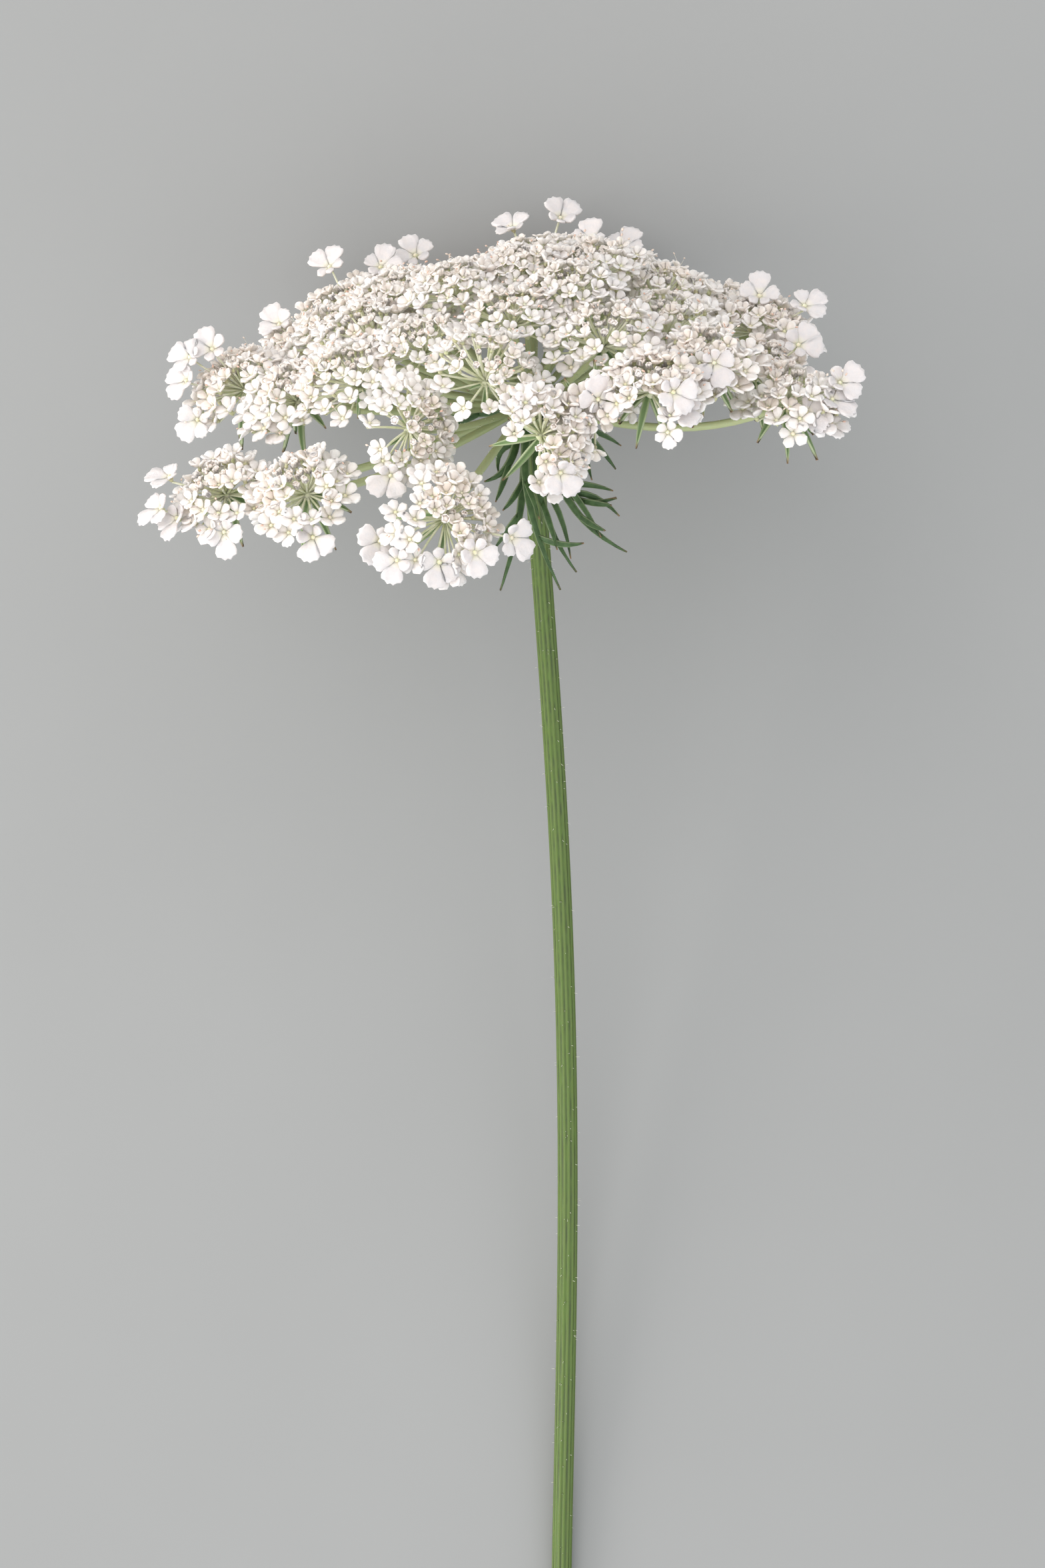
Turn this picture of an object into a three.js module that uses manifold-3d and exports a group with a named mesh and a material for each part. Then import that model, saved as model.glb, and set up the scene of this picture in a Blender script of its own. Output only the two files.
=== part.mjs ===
// Wild carrot flower head on a cut stem, lying on its side on a flat surface.
// Millimetres. +Z is up and the surface is z = 0. +Y runs from the cut end to the head, +X across it.
// The flower is modelled from the point where its rays meet, and moved as a whole at the end.

import * as THREE from "three";
import { mergeVertices } from "three/addons/utils/BufferGeometryUtils.js";
import Module from "manifold-3d";

const wasm = await Module();
wasm.setup();

// The head as a whole
const JUNCTION_HEIGHT = 37; // the point where the rays meet, above the surface
const HEAD_RISE = THREE.MathUtils.degToRad(26); // the head's axis above the surface
const HEAD_LEAN = THREE.MathUtils.degToRad(10); // the head's axis to the left of +Y
const GAP = 0.3; // between pieces that touch

// The stem
const STEM_RADIUS = 1.3;
const STEM_RIBS = 9;
const RIB_HEIGHT = 0.16;
const STEM_STEPS = 14;
const STEM_FLAT = 0.12; // how far the pressed underside is flattened where it lies
const STEM_COURSE = [
  // across and along, from the head to the cut end, as seen from above
  [0, 0],
  [1.6, -22],
  [3.3, -47.6],
  [4.8, -86],
  [4.6, -126],
  [4.0, -165],
];

// The rays and the small bracts under each umbellet
const RAY_RADIUS = 0.58;
const RAY_SIDES = 5;
const RAY_STEPS = 3;
const RAY_SAG = 0.09; // share of a ray's length by which its middle hangs under the straight line
const SAGS = { 3: 0, 8: 0.17 }; // the rays that hang otherwise
const KNOB_PROFILE = [
  // radius and height of the swollen top of the stem
  [0, -4.0],
  [1.15, -4.0],
  [1.3, -2.6],
  [2.1, -0.9],
  [2.3, 0.1],
  [1.7, 1.1],
  [0, 1.5],
];
const KNOB_SIDES = 10;
const SMALL_BRACT_LENGTH = 9;
const SMALL_BRACT_WIDTH = 1.0;
const SMALL_BRACT_TURNS = [-0.9, 0, 0.9]; // radians either side of straight outwards

// The umbellets: each hub's place as [across, away from the surface, along the axis], and its spread
const RIM = [
  [-39.0, 14.5, 1.3, 6.8],
  [-29.0, 23.0, 3.2, 6.6],
  [-12.8, 32.5, 1.0, 7.0],
  [0.5, 29.5, 8.3, 6.6],
  [7.5, 24.0, 7.0, 6.0],
  [14.5, 26.0, 9.9, 6.2],
  [22.0, 18.0, 8.5, 6.7],
  [31.0, 18.0, 1.9, 6.9],
  [28.0, 8.0, 1.8, 6.5],
  [29.5, -2.5, 3.0, 6.7],
  [25.0, -14.0, 0.5, 7.5],
  [19.5, -23.5, -0.8, 7.5],
  [13.0, -31.0, 0.5, 8.0],
  [3.5, -34.0, 2.0, 8.5],
  [-9.5, -33.0, 1.2, 8.0],
  [-20.0, -29.5, 3.5, 8.0],
  [-26.5, -21.0, 3.0, 7.2],
  [-35.0, -9.5, 4.5, 7.0],
  [-28.5, 3.0, 7.0, 7.0],
];
const MIDDLE = [
  [-15.2, 21.5, 8.7, 6.6],
  [-20.5, 9.5, 10.5, 8.0],
  [-5.0, 20.0, 12.5, 8.5],
  [10.0, 14.5, 12.0, 8.0],
  [18.0, 6.5, 8.5, 8.0],
  [18.0, -5.0, 7.8, 8.0],
  [13.5, -14.5, 6.6, 8.0],
  [7.5, -21.5, 7.5, 8.0],
  [-4.0, -23.0, 5.6, 8.0],
  [-14.5, -19.5, 7.5, 8.0],
  [-22.0, -11.0, 8.0, 7.2],
  [-18.0, -1.0, 11.0, 8.0],
];
const CENTRE = [
  [-12.0, 9.5, 13.0, 7.0],
  [-0.5, 9.0, 14.5, 7.0],
  [7.0, 5.5, 15.0, 6.5],
  [10.5, -4.5, 13.5, 6.5],
  [2.0, -3.0, 15.5, 6.0],
  [-6.5, -0.5, 15.5, 6.5],
  [3.5, -12.0, 12.5, 6.5],
  [-5.0, -11.5, 11.2, 6.5],
  [-13.5, -8.0, 12.5, 6.5],
];
const TURNED = {
  // umbellets that face another way: across, away from the surface and along the axis
  3: [0.5, 0.7, 0.5],
  4: [0.5, 0.75, 0.45],
  5: [0.1, 0.75, -0.65],
  8: [0.25, 0.1, 1.0],
  20: [0.5, 0.8, 0.3],
  22: [0.4, 0.45, 0.8],
};
const SHOWY = [
  // florets that stand out: umbellet, from its hub to the right, towards +Y and up, and how far it opens upwards
  [1, -6.9, 2.1, 0.5, 0.2],
  [1, -7.9, -1.8, 2.0, 0.1],
  [1, -5.9, -3.0, 2.0, 0.2],
  [1, 0.0, -4.8, 5.0, 0.9],
  [2, 0.9, -5.4, 4.0, 0.8],
  [3, -7.9, -2.8, 1.0, 0.4],
  [3, -5.8, -5.2, 3.0, 0.8],
  [3, -0.7, -5.4, 3.0, 0.3],
  [3, 3.6, -4.3, 4.0, 0.8],
  [3, 8.0, -2.4, 2.0, 0.5],
  [4, 2.2, -5.0, 4.0, 0.8],
  [5, 0.1, 1.9, 5.5, 0.8],
  [6, 2.6, -0.3, 5.0, 0.8],
  [6, 2.8, -2.2, 3.5, 0.8],
  [7, 0.7, 0.1, 6.0, 0.8],
  [8, 6.4, 2.3, 2.0, 0.6],
  [8, 5.4, 0.2, 3.0, 0.2],
  [8, 2.2, -1.4, 4.0, 0.6],
  [9, 5.3, 3.7, 2.0, 0.8],
  [10, 0.3, 4.5, 1.5, 0.8],
  [10, 5.9, 3.2, 2.0, 0.9],
  [13, -2.5, 5.9, 2.0, 0.9],
  [13, 1.6, 5.2, 1.0, 0.6],
  [14, 3.4, 8.1, 1.0, 0.8],
  [14, -2.7, 6.8, 1.0, 0.7],
  [15, -2.6, 6.6, 1.5, 0.8],
  [16, -3.1, 6.2, 1.5, 0.9],
  [16, 3.4, 6.2, 0.5, 0.8],
  [17, -3.6, 3.6, 2.0, 0.8],
  [18, -4.0, 5.0, 1.5, 0.9],
  [18, -6.8, 4.0, 1.5, 0.5],
  [18, -5.8, -3.9, 2.5, 0.8],
  [18, -7.2, 1.0, 2.0, 0.6],
  [20, -2.3, -5.8, 3.0, 0.8],
];
const FLORETS = { rim: 11, middle: 8, centre: 6 };
const HEAD_RADIUS = 36; // out to the hubs of the rim
const UMBELLET_TURN = 0.4; // how far an umbellet faces outwards, against the head's own axis
const WIDEST_PEDICEL = { rim: 98, middle: 88, centre: 80 }; // degrees from where the umbellet faces
const HUB_RADIUS = 0.85;
const PETAL_REACH = { rim: 2.8, middle: 2.6, centre: 2.4, showy: 2.3 }; // floret centre to petal tip, larger than life
const NOTCH_SHARE = 0.66;
const PRESSED = 0.6; // a floret's lowest centre above the surface, which flattens its lower petals
const FLORET_GAP = 0.1;
const GREEN_ROOM = 0.9; // from a floret's edge to the middle of a ray or a small bract
const FLORET_DEPTH = 0.55;
const FLORET_CROWN = 0.32;
const PEDICEL_RADIUS = 0.36;
const PEDICEL_CORNERS = [72, 198, 306]; // degrees round the stalk, each under a notch or a petal
const OUTER_PETAL_GROWTH = 0.3; // the outermost florets have longer outer petals
const SHOWY_PETAL_GROWTH = 0.45;

// The feathery bracts round the top of the stem: the azimuth of the root, the middle and the tip of the rib from where
// the rays meet, to the right, towards +Y and up, and each lobe's place along the rib, middle and tip
const BRACTS = [
  [
    38,
    [2.6, -14.2, 4.5],
    [12.1, -18.7, 4.0],
    [
      [0.3, [6.5, -12.5, 4.5], [8.9, -16.9, 4.5]],
      [0.62, [7.8, -15.6, 5.0], [9.4, -16.1, 5.5]],
    ],
  ],
  [
    8,
    [2.0, -15.0, 3.5],
    [10.8, -11.9, 3.0],
    [
      [0.55, [8.3, -11.0, 3.0], [11.2, -14.2, 2.5]],
      [0.7, [8.8, -12.8, 3.8], [10.2, -12.9, 4.0]],
      [0.45, [7.0, -9.9, 2.5], [10.4, -11.0, 2.0]],
    ],
  ],
  [
    -22,
    [7.0, -2.5, -4.0],
    [10.8, -8.0, -5.5],
    [
      [0.4, [8.5, -3.0, -5.0], [11.5, -5.0, -7.0]],
      [0.5, [6.8, -6.0, -3.5], [7.8, -9.5, -3.5]],
    ],
  ],
  [
    68,
    [-0.6, -12.9, 7.0],
    [5.8, -21.3, 6.5],
    [
      [0.35, [4.2, -13.2, 5.5], [5.1, -19.6, 5.0]],
      [0.5, [2.6, -15.5, 8.0], [3.4, -18.6, 8.5]],
    ],
  ],
  [
    98,
    [-2.4, -11.0, 7.5],
    [3.8, -23.5, 6.5],
    [
      [0.72, [4.0, -18.4, 8.0], [6.7, -17.7, 8.0]],
      [0.4, [0.2, -11.5, 8.5], [1.2, -14.8, 9.0]],
    ],
  ],
  [
    128,
    [0.0, -12.9, 5.0],
    [-3.7, -23.5, 4.0],
    [
      [0.35, [-2.0, -12.3, 5.5], [-3.4, -13.6, 5.5]],
      [0.55, [-2.8, -16.0, 4.5], [-4.4, -18.3, 4.0]],
    ],
  ],
  [
    160,
    [-1.5, -9.0, 3.0],
    [-5.7, -9.9, 3.2],
    [
      [0.5, [-3.3, -10.3, 3.8], [-4.3, -12.5, 4.0]],
      [0.25, [-4.6, -5.4, 1.5], [-3.9, -8.9, 1.0]],
    ],
  ],
  [
    215,
    [-8.6, -0.5, -7.1],
    [-14.5, -2.0, -12.7],
    [
      [0.35, [-7.5, -1.6, -4.5], [-10.6, -3.2, -6.0]],
      [0.5, [-9.8, 1.6, -9.0], [-13.6, 1.4, -10.5]],
    ],
  ],
  [
    285,
    [1.6, 1.7, -11.1],
    [3.0, 0.9, -19.3],
    [
      [0.35, [4.0, 0.2, -9.5], [6.2, -1.6, -13.5]],
      [0.5, [-0.4, 1.4, -11.5], [-2.0, 0.2, -15.5]],
    ],
  ],
];
const BRACT_ROOT = 2.75; // from the stem's axis to the bract's root
const BRACT_DROP = 1.6; // the root below the point where the rays meet
const BRACT_WIDTH = 1.15;
const LOBE_WIDTH = 0.9;
const RIB_STATIONS = [0, 0.08, 0.35, 0.6, 0.82, 1];
const RIB_TAPER = [0, 0.9, 1, 0.95, 0.8, 0];
const LEAF_THICKNESS = 0.62;
const LOBE_STATIONS = [0, 0.45, 0.8, 1];
const LOBE_TAPER = [0, 1, 0.7, 0];

const SMALLEST_EDGE = 0.05;
const WELD = 1e-3;
const CORNER_ROOM = 0.01; // corners closer than this are moved apart
const CORNER_SHARE = 0.05; // by this share of the way to their neighbours
const GOLDEN_ANGLE = Math.PI * (3 - Math.sqrt(5));
const SEED = 41;

const GREEN = new THREE.MeshStandardMaterial({ color: 0x7c9a4e, roughness: 0.6 });
const LEAF_GREEN = new THREE.MeshStandardMaterial({ color: 0x4f7038, roughness: 0.65 });
const WHITE = new THREE.MeshStandardMaterial({ color: 0xf3efe6, roughness: 0.7 });

// The head's own directions
const axis = new THREE.Vector3(
  -Math.sin(HEAD_LEAN) * Math.cos(HEAD_RISE),
  Math.cos(HEAD_LEAN) * Math.cos(HEAD_RISE),
  Math.sin(HEAD_RISE),
);
const across = new THREE.Vector3(Math.cos(HEAD_LEAN), Math.sin(HEAD_LEAN), 0);
const towards = across.clone().cross(axis);
const junction = new THREE.Vector3(0, 0, JUNCTION_HEIGHT);
const UP = new THREE.Vector3(0, 0, 1);

// A repeatable series of numbers from 0 to 1.
function randomSeries(seed) {
  let state = seed >>> 0;
  return () => {
    state = (state + 0x6d2b79f5) >>> 0;
    let t = Math.imul(state ^ (state >>> 15), 1 | state);
    t = (t + Math.imul(t ^ (t >>> 7), 61 | t)) ^ t;
    return ((t ^ (t >>> 14)) >>> 0) / 4294967296;
  };
}

function geometryOf(points, triangles) {
  const geometry = new THREE.BufferGeometry().setFromPoints(points);
  geometry.setIndex(triangles.flat());
  return geometry;
}

// A closed geometry as a solid that can be joined and cut.
function solidOf(geometry) {
  const bare = geometry.clone();
  bare.deleteAttribute("normal");
  bare.deleteAttribute("uv");
  const merged = mergeVertices(bare, WELD);
  const mesh = new wasm.Mesh({
    numProp: 3,
    vertProperties: new Float32Array(merged.attributes.position.array),
    triVerts: new Uint32Array(merged.index.array),
  });
  return new wasm.Manifold(mesh);
}

function joined(solids) {
  let level = solids;
  while (level.length > 1) {
    const next = [];
    for (let i = 0; i < level.length; i += 2)
      next.push(i + 1 < level.length ? level[i].add(level[i + 1]) : level[i]);
    level = next;
  }
  return level[0];
}

function largestOf(solid) {
  return solid.decompose().reduce((a, b) => (a.volume() > b.volume() ? a : b));
}

function geometryFrom(solid) {
  const made = solid.getMesh();
  const geometry = new THREE.BufferGeometry();
  geometry.setAttribute("position", new THREE.BufferAttribute(new Float32Array(made.vertProperties), 3));
  geometry.setIndex(new THREE.BufferAttribute(new Uint32Array(made.triVerts), 1));
  return geometry;
}

// Corners that meet in one place are moved apart, each a little towards its own neighbours.
function withCornersParted(solid) {
  const { vertProperties, triVerts } = solid.getMesh();
  const corners = [];
  for (let i = 0; i < vertProperties.length; i += 3) corners.push(new THREE.Vector3().fromArray(vertProperties, i));
  const cellOf = (corner) => corner.toArray().map((value) => Math.round(value / CORNER_ROOM)).join();
  const shared = new Map();
  for (const corner of corners) shared.set(cellOf(corner), (shared.get(cellOf(corner)) ?? 0) + 1);
  const moved = Float32Array.from(vertProperties);
  corners.forEach((corner, i) => {
    if (shared.get(cellOf(corner)) < 2) return;
    const middle = new THREE.Vector3();
    let faces = 0;
    for (let k = 0; k < triVerts.length; k += 3) {
      const face = [...triVerts.slice(k, k + 3)];
      if (!face.includes(i)) continue;
      face.forEach((other) => middle.add(corners[other]));
      faces += 1;
    }
    corner.clone().lerp(middle.divideScalar(3 * faces), CORNER_SHARE).toArray(moved, 3 * i);
  });
  return new wasm.Manifold(new wasm.Mesh({ numProp: 3, vertProperties: moved, triVerts }));
}

// What is left of a solid above the surface, without loose scraps.
function standing(solid) {
  const trimmed = largestOf(solid.trimByPlane([0, 0, 1], 0).simplify(SMALLEST_EDGE));
  return withCornersParted(largestOf(solidOf(geometryFrom(trimmed))));
}

function meshOf(name, solid, material) {
  const geometry = geometryFrom(solid);
  geometry.computeVertexNormals();
  const mesh = new THREE.Mesh(geometry, material);
  mesh.name = name;
  return mesh;
}

// A spike of three-sided sections through the given centres, closed by a point at each end.
function spike(centres, widths, thickness, face) {
  const points = [centres[0]];
  for (let i = 1; i < centres.length - 1; i++) {
    const along = centres[i + 1].clone().sub(centres[i - 1]).normalize();
    const side = along.clone().cross(face).normalize();
    const out = side.clone().cross(along).normalize();
    points.push(centres[i].clone().addScaledVector(side, widths[i] / 2));
    points.push(centres[i].clone().addScaledVector(side, -widths[i] / 2));
    points.push(centres[i].clone().addScaledVector(out, -thickness));
  }
  points.push(centres.at(-1));
  const last = points.length - 1;
  const triangles = [];
  for (let k = 0; k < 3; k++) {
    const next = (k + 1) % 3;
    triangles.push([0, 1 + k, 1 + next]);
    for (let ring = 1; ring + 5 <= last; ring += 3)
      triangles.push([ring + next, ring + k, ring + 3 + k], [ring + next, ring + 3 + k, ring + 3 + next]);
    triangles.push([last, last - 3 + next, last - 3 + k]);
  }
  return geometryOf(points, triangles);
}

function stemCourse() {
  const end = STEM_COURSE.at(-1)[1];
  const low = STEM_RADIUS - STEM_FLAT;
  const points = STEM_COURSE.map(([x, y]) => {
    const share = 1 - y / end;
    return new THREE.Vector3(x, y, low + (JUNCTION_HEIGHT - low) * share * share);
  });
  return new THREE.CatmullRomCurve3(points, false, "centripetal");
}

function stemSolid() {
  const outline = new THREE.Shape();
  for (let i = 0; i < STEM_RIBS * 2; i++) {
    const angle = (i * Math.PI) / STEM_RIBS;
    const radius = STEM_RADIUS - (i % 2) * RIB_HEIGHT;
    outline[i ? "lineTo" : "moveTo"](radius * Math.cos(angle), radius * Math.sin(angle));
  }
  outline.closePath();
  const options = { extrudePath: stemCourse(), steps: STEM_STEPS, bevelEnabled: false };
  return solidOf(new THREE.ExtrudeGeometry(outline, options));
}

function knobSolid() {
  const profile = KNOB_PROFILE.map(([r, h]) => new THREE.Vector2(r, h));
  const geometry = new THREE.LatheGeometry(profile, KNOB_SIDES);
  geometry.applyQuaternion(new THREE.Quaternion().setFromUnitVectors(new THREE.Vector3(0, 1, 0), axis));
  return solidOf(geometry.translate(junction.x, junction.y, junction.z));
}

// The head's own directions, as directions and points of the part.
function headDirection(u, w, h) {
  return across.clone().multiplyScalar(u).addScaledVector(towards, w).addScaledVector(axis, h);
}

function headPoint(u, w, h) {
  return headDirection(u, w, h).add(junction);
}

function umbelletPlan() {
  const rows = [
    ...RIM.map((row) => [...row, "rim"]),
    ...MIDDLE.map((row) => [...row, "middle"]),
    ...CENTRE.map((row) => [...row, "centre"]),
  ];
  return rows.map(([u, w, h, spread, zone], index) => {
    const hub = headPoint(u, w, h);
    const reach = Math.hypot(u, w);
    const outwards = across.clone().multiplyScalar(u / reach).addScaledVector(towards, w / reach);
    const turn = UMBELLET_TURN * Math.min(1, reach / HEAD_RADIUS);
    const turned = TURNED[index + 1];
    const facing = turned ? headDirection(...turned) : axis.clone().addScaledVector(outwards, turn);
    facing.normalize();
    const away = outwards.clone().addScaledVector(facing, -outwards.dot(facing)).normalize();
    return { index, hub, spread, zone, facing, away, side: facing.clone().cross(away) };
  });
}

// A ray's centre line, from the junction to just under its umbellet.
function rayCurve(plan) {
  const run = plan.hub.clone().sub(junction);
  const sag = SAGS[plan.index + 1] ?? RAY_SAG;
  const middle = junction.clone().addScaledVector(run, 0.6).addScaledVector(axis, -sag * run.length());
  const arrival = plan.hub.clone().sub(middle).normalize();
  const end = plan.hub.clone().addScaledVector(arrival, -HUB_RADIUS - GAP);
  return new THREE.QuadraticBezierCurve3(junction.clone(), middle, end);
}

function raySolid(plan) {
  const outline = new THREE.Shape();
  for (let i = 0; i < RAY_SIDES; i++) {
    const angle = (i * 2 * Math.PI) / RAY_SIDES;
    outline[i ? "lineTo" : "moveTo"](RAY_RADIUS * Math.cos(angle), RAY_RADIUS * Math.sin(angle));
  }
  outline.closePath();
  const steps = plan.zone === "centre" ? 2 : RAY_STEPS;
  const options = { extrudePath: rayCurve(plan), steps, bevelEnabled: false };
  return solidOf(new THREE.ExtrudeGeometry(outline, options));
}

// The courses of the narrow bracts that hang from the end of a rim ray, on its outer side.
function smallBractCourses(plan) {
  const curve = rayCurve(plan);
  const arrival = curve.getTangent(1);
  const root = curve.getPoint(1).addScaledVector(arrival, -0.5);
  return SMALL_BRACT_TURNS.map((turn) => {
    const out = plan.away.clone().multiplyScalar(Math.cos(turn)).addScaledVector(plan.side, Math.sin(turn));
    const bend = root.clone().addScaledVector(out, SMALL_BRACT_LENGTH * 0.4);
    bend.addScaledVector(plan.facing, -SMALL_BRACT_LENGTH * 0.22);
    const tip = root.clone().addScaledVector(out, SMALL_BRACT_LENGTH * 0.68);
    tip.addScaledVector(plan.facing, -SMALL_BRACT_LENGTH * 0.72);
    return [root, bend, tip];
  });
}

function smallBracts(plan) {
  const widths = [0, SMALL_BRACT_WIDTH, 0];
  const shapes = smallBractCourses(plan).map((course) => spike(course, widths, LEAF_THICKNESS, plan.facing));
  return shapes.map(solidOf);
}

// Florets spread evenly over each umbellet, then eased apart until none touches another umbellet.
function floretPlan(plans, greens) {
  const random = randomSeries(SEED);
  const florets = [];
  for (const plan of plans) {
    const showy = SHOWY.filter(([number]) => number === plan.index + 1);
    for (const [, right, along, up, opening] of showy) {
      const place = new THREE.Vector3(right, along, up).add(plan.hub);
      const length = place.distanceTo(plan.hub);
      florets.push({ plan, place, reach: PETAL_REACH.showy, share: 1, length, twist: 0, opening });
    }
    const count = FLORETS[plan.zone] - showy.length;
    const start = random() * 2 * Math.PI;
    for (let k = 0; k < count; k++) {
      const share = Math.sqrt((k + 0.5) / count);
      const turn = start + k * GOLDEN_ANGLE;
      const tilt = THREE.MathUtils.degToRad(share * WIDEST_PEDICEL[plan.zone]);
      const outward = Math.cos(turn) * share;
      const length = plan.spread * (0.45 + 0.45 * share) * (1 + 0.1 * outward) * (0.95 + 0.1 * random());
      const stalk = plan.away.clone().multiplyScalar(Math.sin(tilt) * Math.cos(turn));
      stalk.addScaledVector(plan.side, Math.sin(tilt) * Math.sin(turn));
      stalk.addScaledVector(plan.facing, Math.cos(tilt));
      const place = plan.hub.clone().addScaledVector(stalk, length);
      const reach = PETAL_REACH[plan.zone] * (0.8 + 0.2 * share);
      florets.push({ plan, place, reach, share, length, twist: random() * 2 * Math.PI });
    }
  }
  for (let round = 0; round < 80; round++) {
    for (let i = 0; i < florets.length; i++)
      for (let j = i + 1; j < florets.length; j++) parted(florets[i], florets[j]);
    for (const floret of florets) keptInside(floret, plans, greens);
  }
  for (const floret of florets) shrunkToFit(floret, florets, plans, greens);
  return florets;
}

function parted(one, other) {
  const step = one.place.clone().sub(other.place);
  const distance = step.length();
  const wanted = one.reach + other.reach + FLORET_GAP;
  if (distance >= wanted) return;
  step.multiplyScalar((wanted - distance) / (2 * distance));
  one.place.add(step);
  other.place.sub(step);
}

// How far a floret's centre lies inside the middle plane between its own hub and another.
function roomTo(floret, other) {
  const step = floret.plan.hub.clone().sub(other.hub).normalize();
  const middle = floret.plan.hub.clone().add(other.hub).multiplyScalar(0.5);
  return { step, room: floret.place.clone().sub(middle).dot(step) };
}

function roomToLine(floret, line) {
  const step = floret.place.clone().sub(line.closestPointToPoint(floret.place, true, new THREE.Vector3()));
  return { step: step.clone().normalize(), room: step.length() };
}

function keptInside(floret, plans, greens) {
  const clear = floret.reach * 0.85 + GAP / 2;
  for (const other of plans) {
    if (other === floret.plan) continue;
    const { step, room } = roomTo(floret, other);
    if (room < clear) floret.place.addScaledVector(step, (clear - room) * 0.5);
  }
  for (const line of greens) {
    const { step, room } = roomToLine(floret, line);
    if (room < floret.reach + 1) floret.place.addScaledVector(step, (floret.reach + 1 - room) * 0.5);
  }
  const lowest = floret.reach * PRESSED;
  if (floret.place.z < lowest) floret.place.z = lowest;
  const stalk = floret.place.clone().sub(floret.plan.hub);
  const length = THREE.MathUtils.clamp(stalk.length(), floret.length * 0.7, floret.length * 1.12);
  floret.place.copy(floret.plan.hub).addScaledVector(stalk.normalize(), length);
}

// A floret that still has too little room is made smaller.
function shrunkToFit(floret, florets, plans, greens) {
  let free = floret.reach;
  for (const other of plans) {
    if (other !== floret.plan) free = Math.min(free, roomTo(floret, other).room - GAP / 2);
  }
  for (const line of greens) free = Math.min(free, roomToLine(floret, line).room - GREEN_ROOM);
  for (const other of florets) {
    if (other === floret || other.plan === floret.plan) continue;
    free = Math.min(free, (floret.place.distanceTo(other.place) - GAP) / 2);
  }
  floret.reach = Math.max(free, 0.5);
}

// One floret with its stalk: a star of five petals over a three-sided spike from the hub.
function floretSolid({ plan, place, reach, share, twist, opening }) {
  const stalk = place.clone().sub(plan.hub).normalize();
  const face = stalk.clone().multiplyScalar(opening ? 0.25 : 0.5);
  face.addScaledVector(plan.facing, opening ? 1.2 - opening : 0.5);
  face.addScaledVector(opening ? UP : axis, opening ?? 0.3).normalize();
  const outer = opening ? stalk : plan.away;
  const first = outer.clone().addScaledVector(face, -outer.dot(face)).normalize();
  const second = face.clone().cross(first);
  const around = (angle, radius, lift) =>
    place
      .clone()
      .addScaledVector(first, radius * Math.cos(angle))
      .addScaledVector(second, radius * Math.sin(angle))
      .addScaledVector(face, lift);
  const points = [plan.hub];
  for (const corner of PEDICEL_CORNERS) {
    const angle = twist + THREE.MathUtils.degToRad(corner);
    points.push(around(angle, Math.min(PEDICEL_RADIUS, reach / 3), -FLORET_DEPTH));
  }
  const outermost = plan.zone === "rim" && share > 0.75 ? OUTER_PETAL_GROWTH : 0;
  const grown = opening ? SHOWY_PETAL_GROWTH : outermost;
  for (let i = 0; i < 10; i++) {
    const angle = twist + (i * Math.PI) / 5;
    const growth = 1 + grown * Math.max(0, Math.cos(angle));
    const petal = i % 2 ? reach * NOTCH_SHARE : reach * growth;
    points.push(around(angle, petal, i % 2 ? 0 : 0.12 * reach));
  }
  points.push(around(0, 0, FLORET_CROWN));
  const rim = (i) => 4 + (i % 10);
  const ring = (i) => 1 + Math.min(2, Math.floor(((i % 10) * 3) / 10));
  const triangles = [
    [0, 2, 1],
    [0, 3, 2],
    [0, 1, 3],
  ];
  for (let i = 0; i < 10; i++) {
    triangles.push([ring(i), rim(i + 1), rim(i)]);
    if (ring(i) !== ring(i + 1)) triangles.push([ring(i), ring(i + 1), rim(i + 1)]);
    triangles.push([14, rim(i), rim(i + 1)]);
  }
  return solidOf(geometryOf(points, triangles));
}

function hubSolid(plan) {
  const geometry = new THREE.OctahedronGeometry(HUB_RADIUS);
  return solidOf(geometry.translate(plan.hub.x, plan.hub.y, plan.hub.z));
}

// The centre lines of a bract: its rib's first, then those of the lobes that leave it.
function bractCurves([azimuth, middle, tip, lobes]) {
  const turn = THREE.MathUtils.degToRad(azimuth);
  const root = headPoint(BRACT_ROOT * Math.cos(turn), BRACT_ROOT * Math.sin(turn), -BRACT_DROP);
  const at = (step) => new THREE.Vector3(...step).add(junction);
  const rib = new THREE.QuadraticBezierCurve3(root, at(middle), at(tip));
  const forks = lobes.map(
    ([from, bend, end]) => new THREE.QuadraticBezierCurve3(rib.getPoint(from), at(bend), at(end)),
  );
  return [rib, ...forks];
}

function blade(curve, stations, taper, width, thickness) {
  const centres = stations.map((share) => curve.getPoint(share));
  const widths = taper.map((share) => share * width);
  return solidOf(spike(centres, widths, thickness, towards));
}

// A bract: a rib with narrow side lobes.
function bractSolid(row) {
  const [rib, ...lobes] = bractCurves(row);
  return joined([
    blade(rib, RIB_STATIONS, RIB_TAPER, BRACT_WIDTH, LEAF_THICKNESS),
    ...lobes.map((lobe) => blade(lobe, LOBE_STATIONS, LOBE_TAPER, LOBE_WIDTH, LEAF_THICKNESS * 0.9)),
  ]);
}

const flower = new THREE.Group();
const plans = umbelletPlan();
const rimPlans = plans.filter((plan) => plan.zone === "rim");
const green = [stemSolid(), knobSolid(), ...plans.map(raySolid), ...rimPlans.flatMap(smallBracts)];
flower.add(meshOf("stem", standing(joined(green)), GREEN));

BRACTS.forEach((row, i) => flower.add(meshOf(`bract_${i + 1}`, standing(bractSolid(row)), LEAF_GREEN)));

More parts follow.
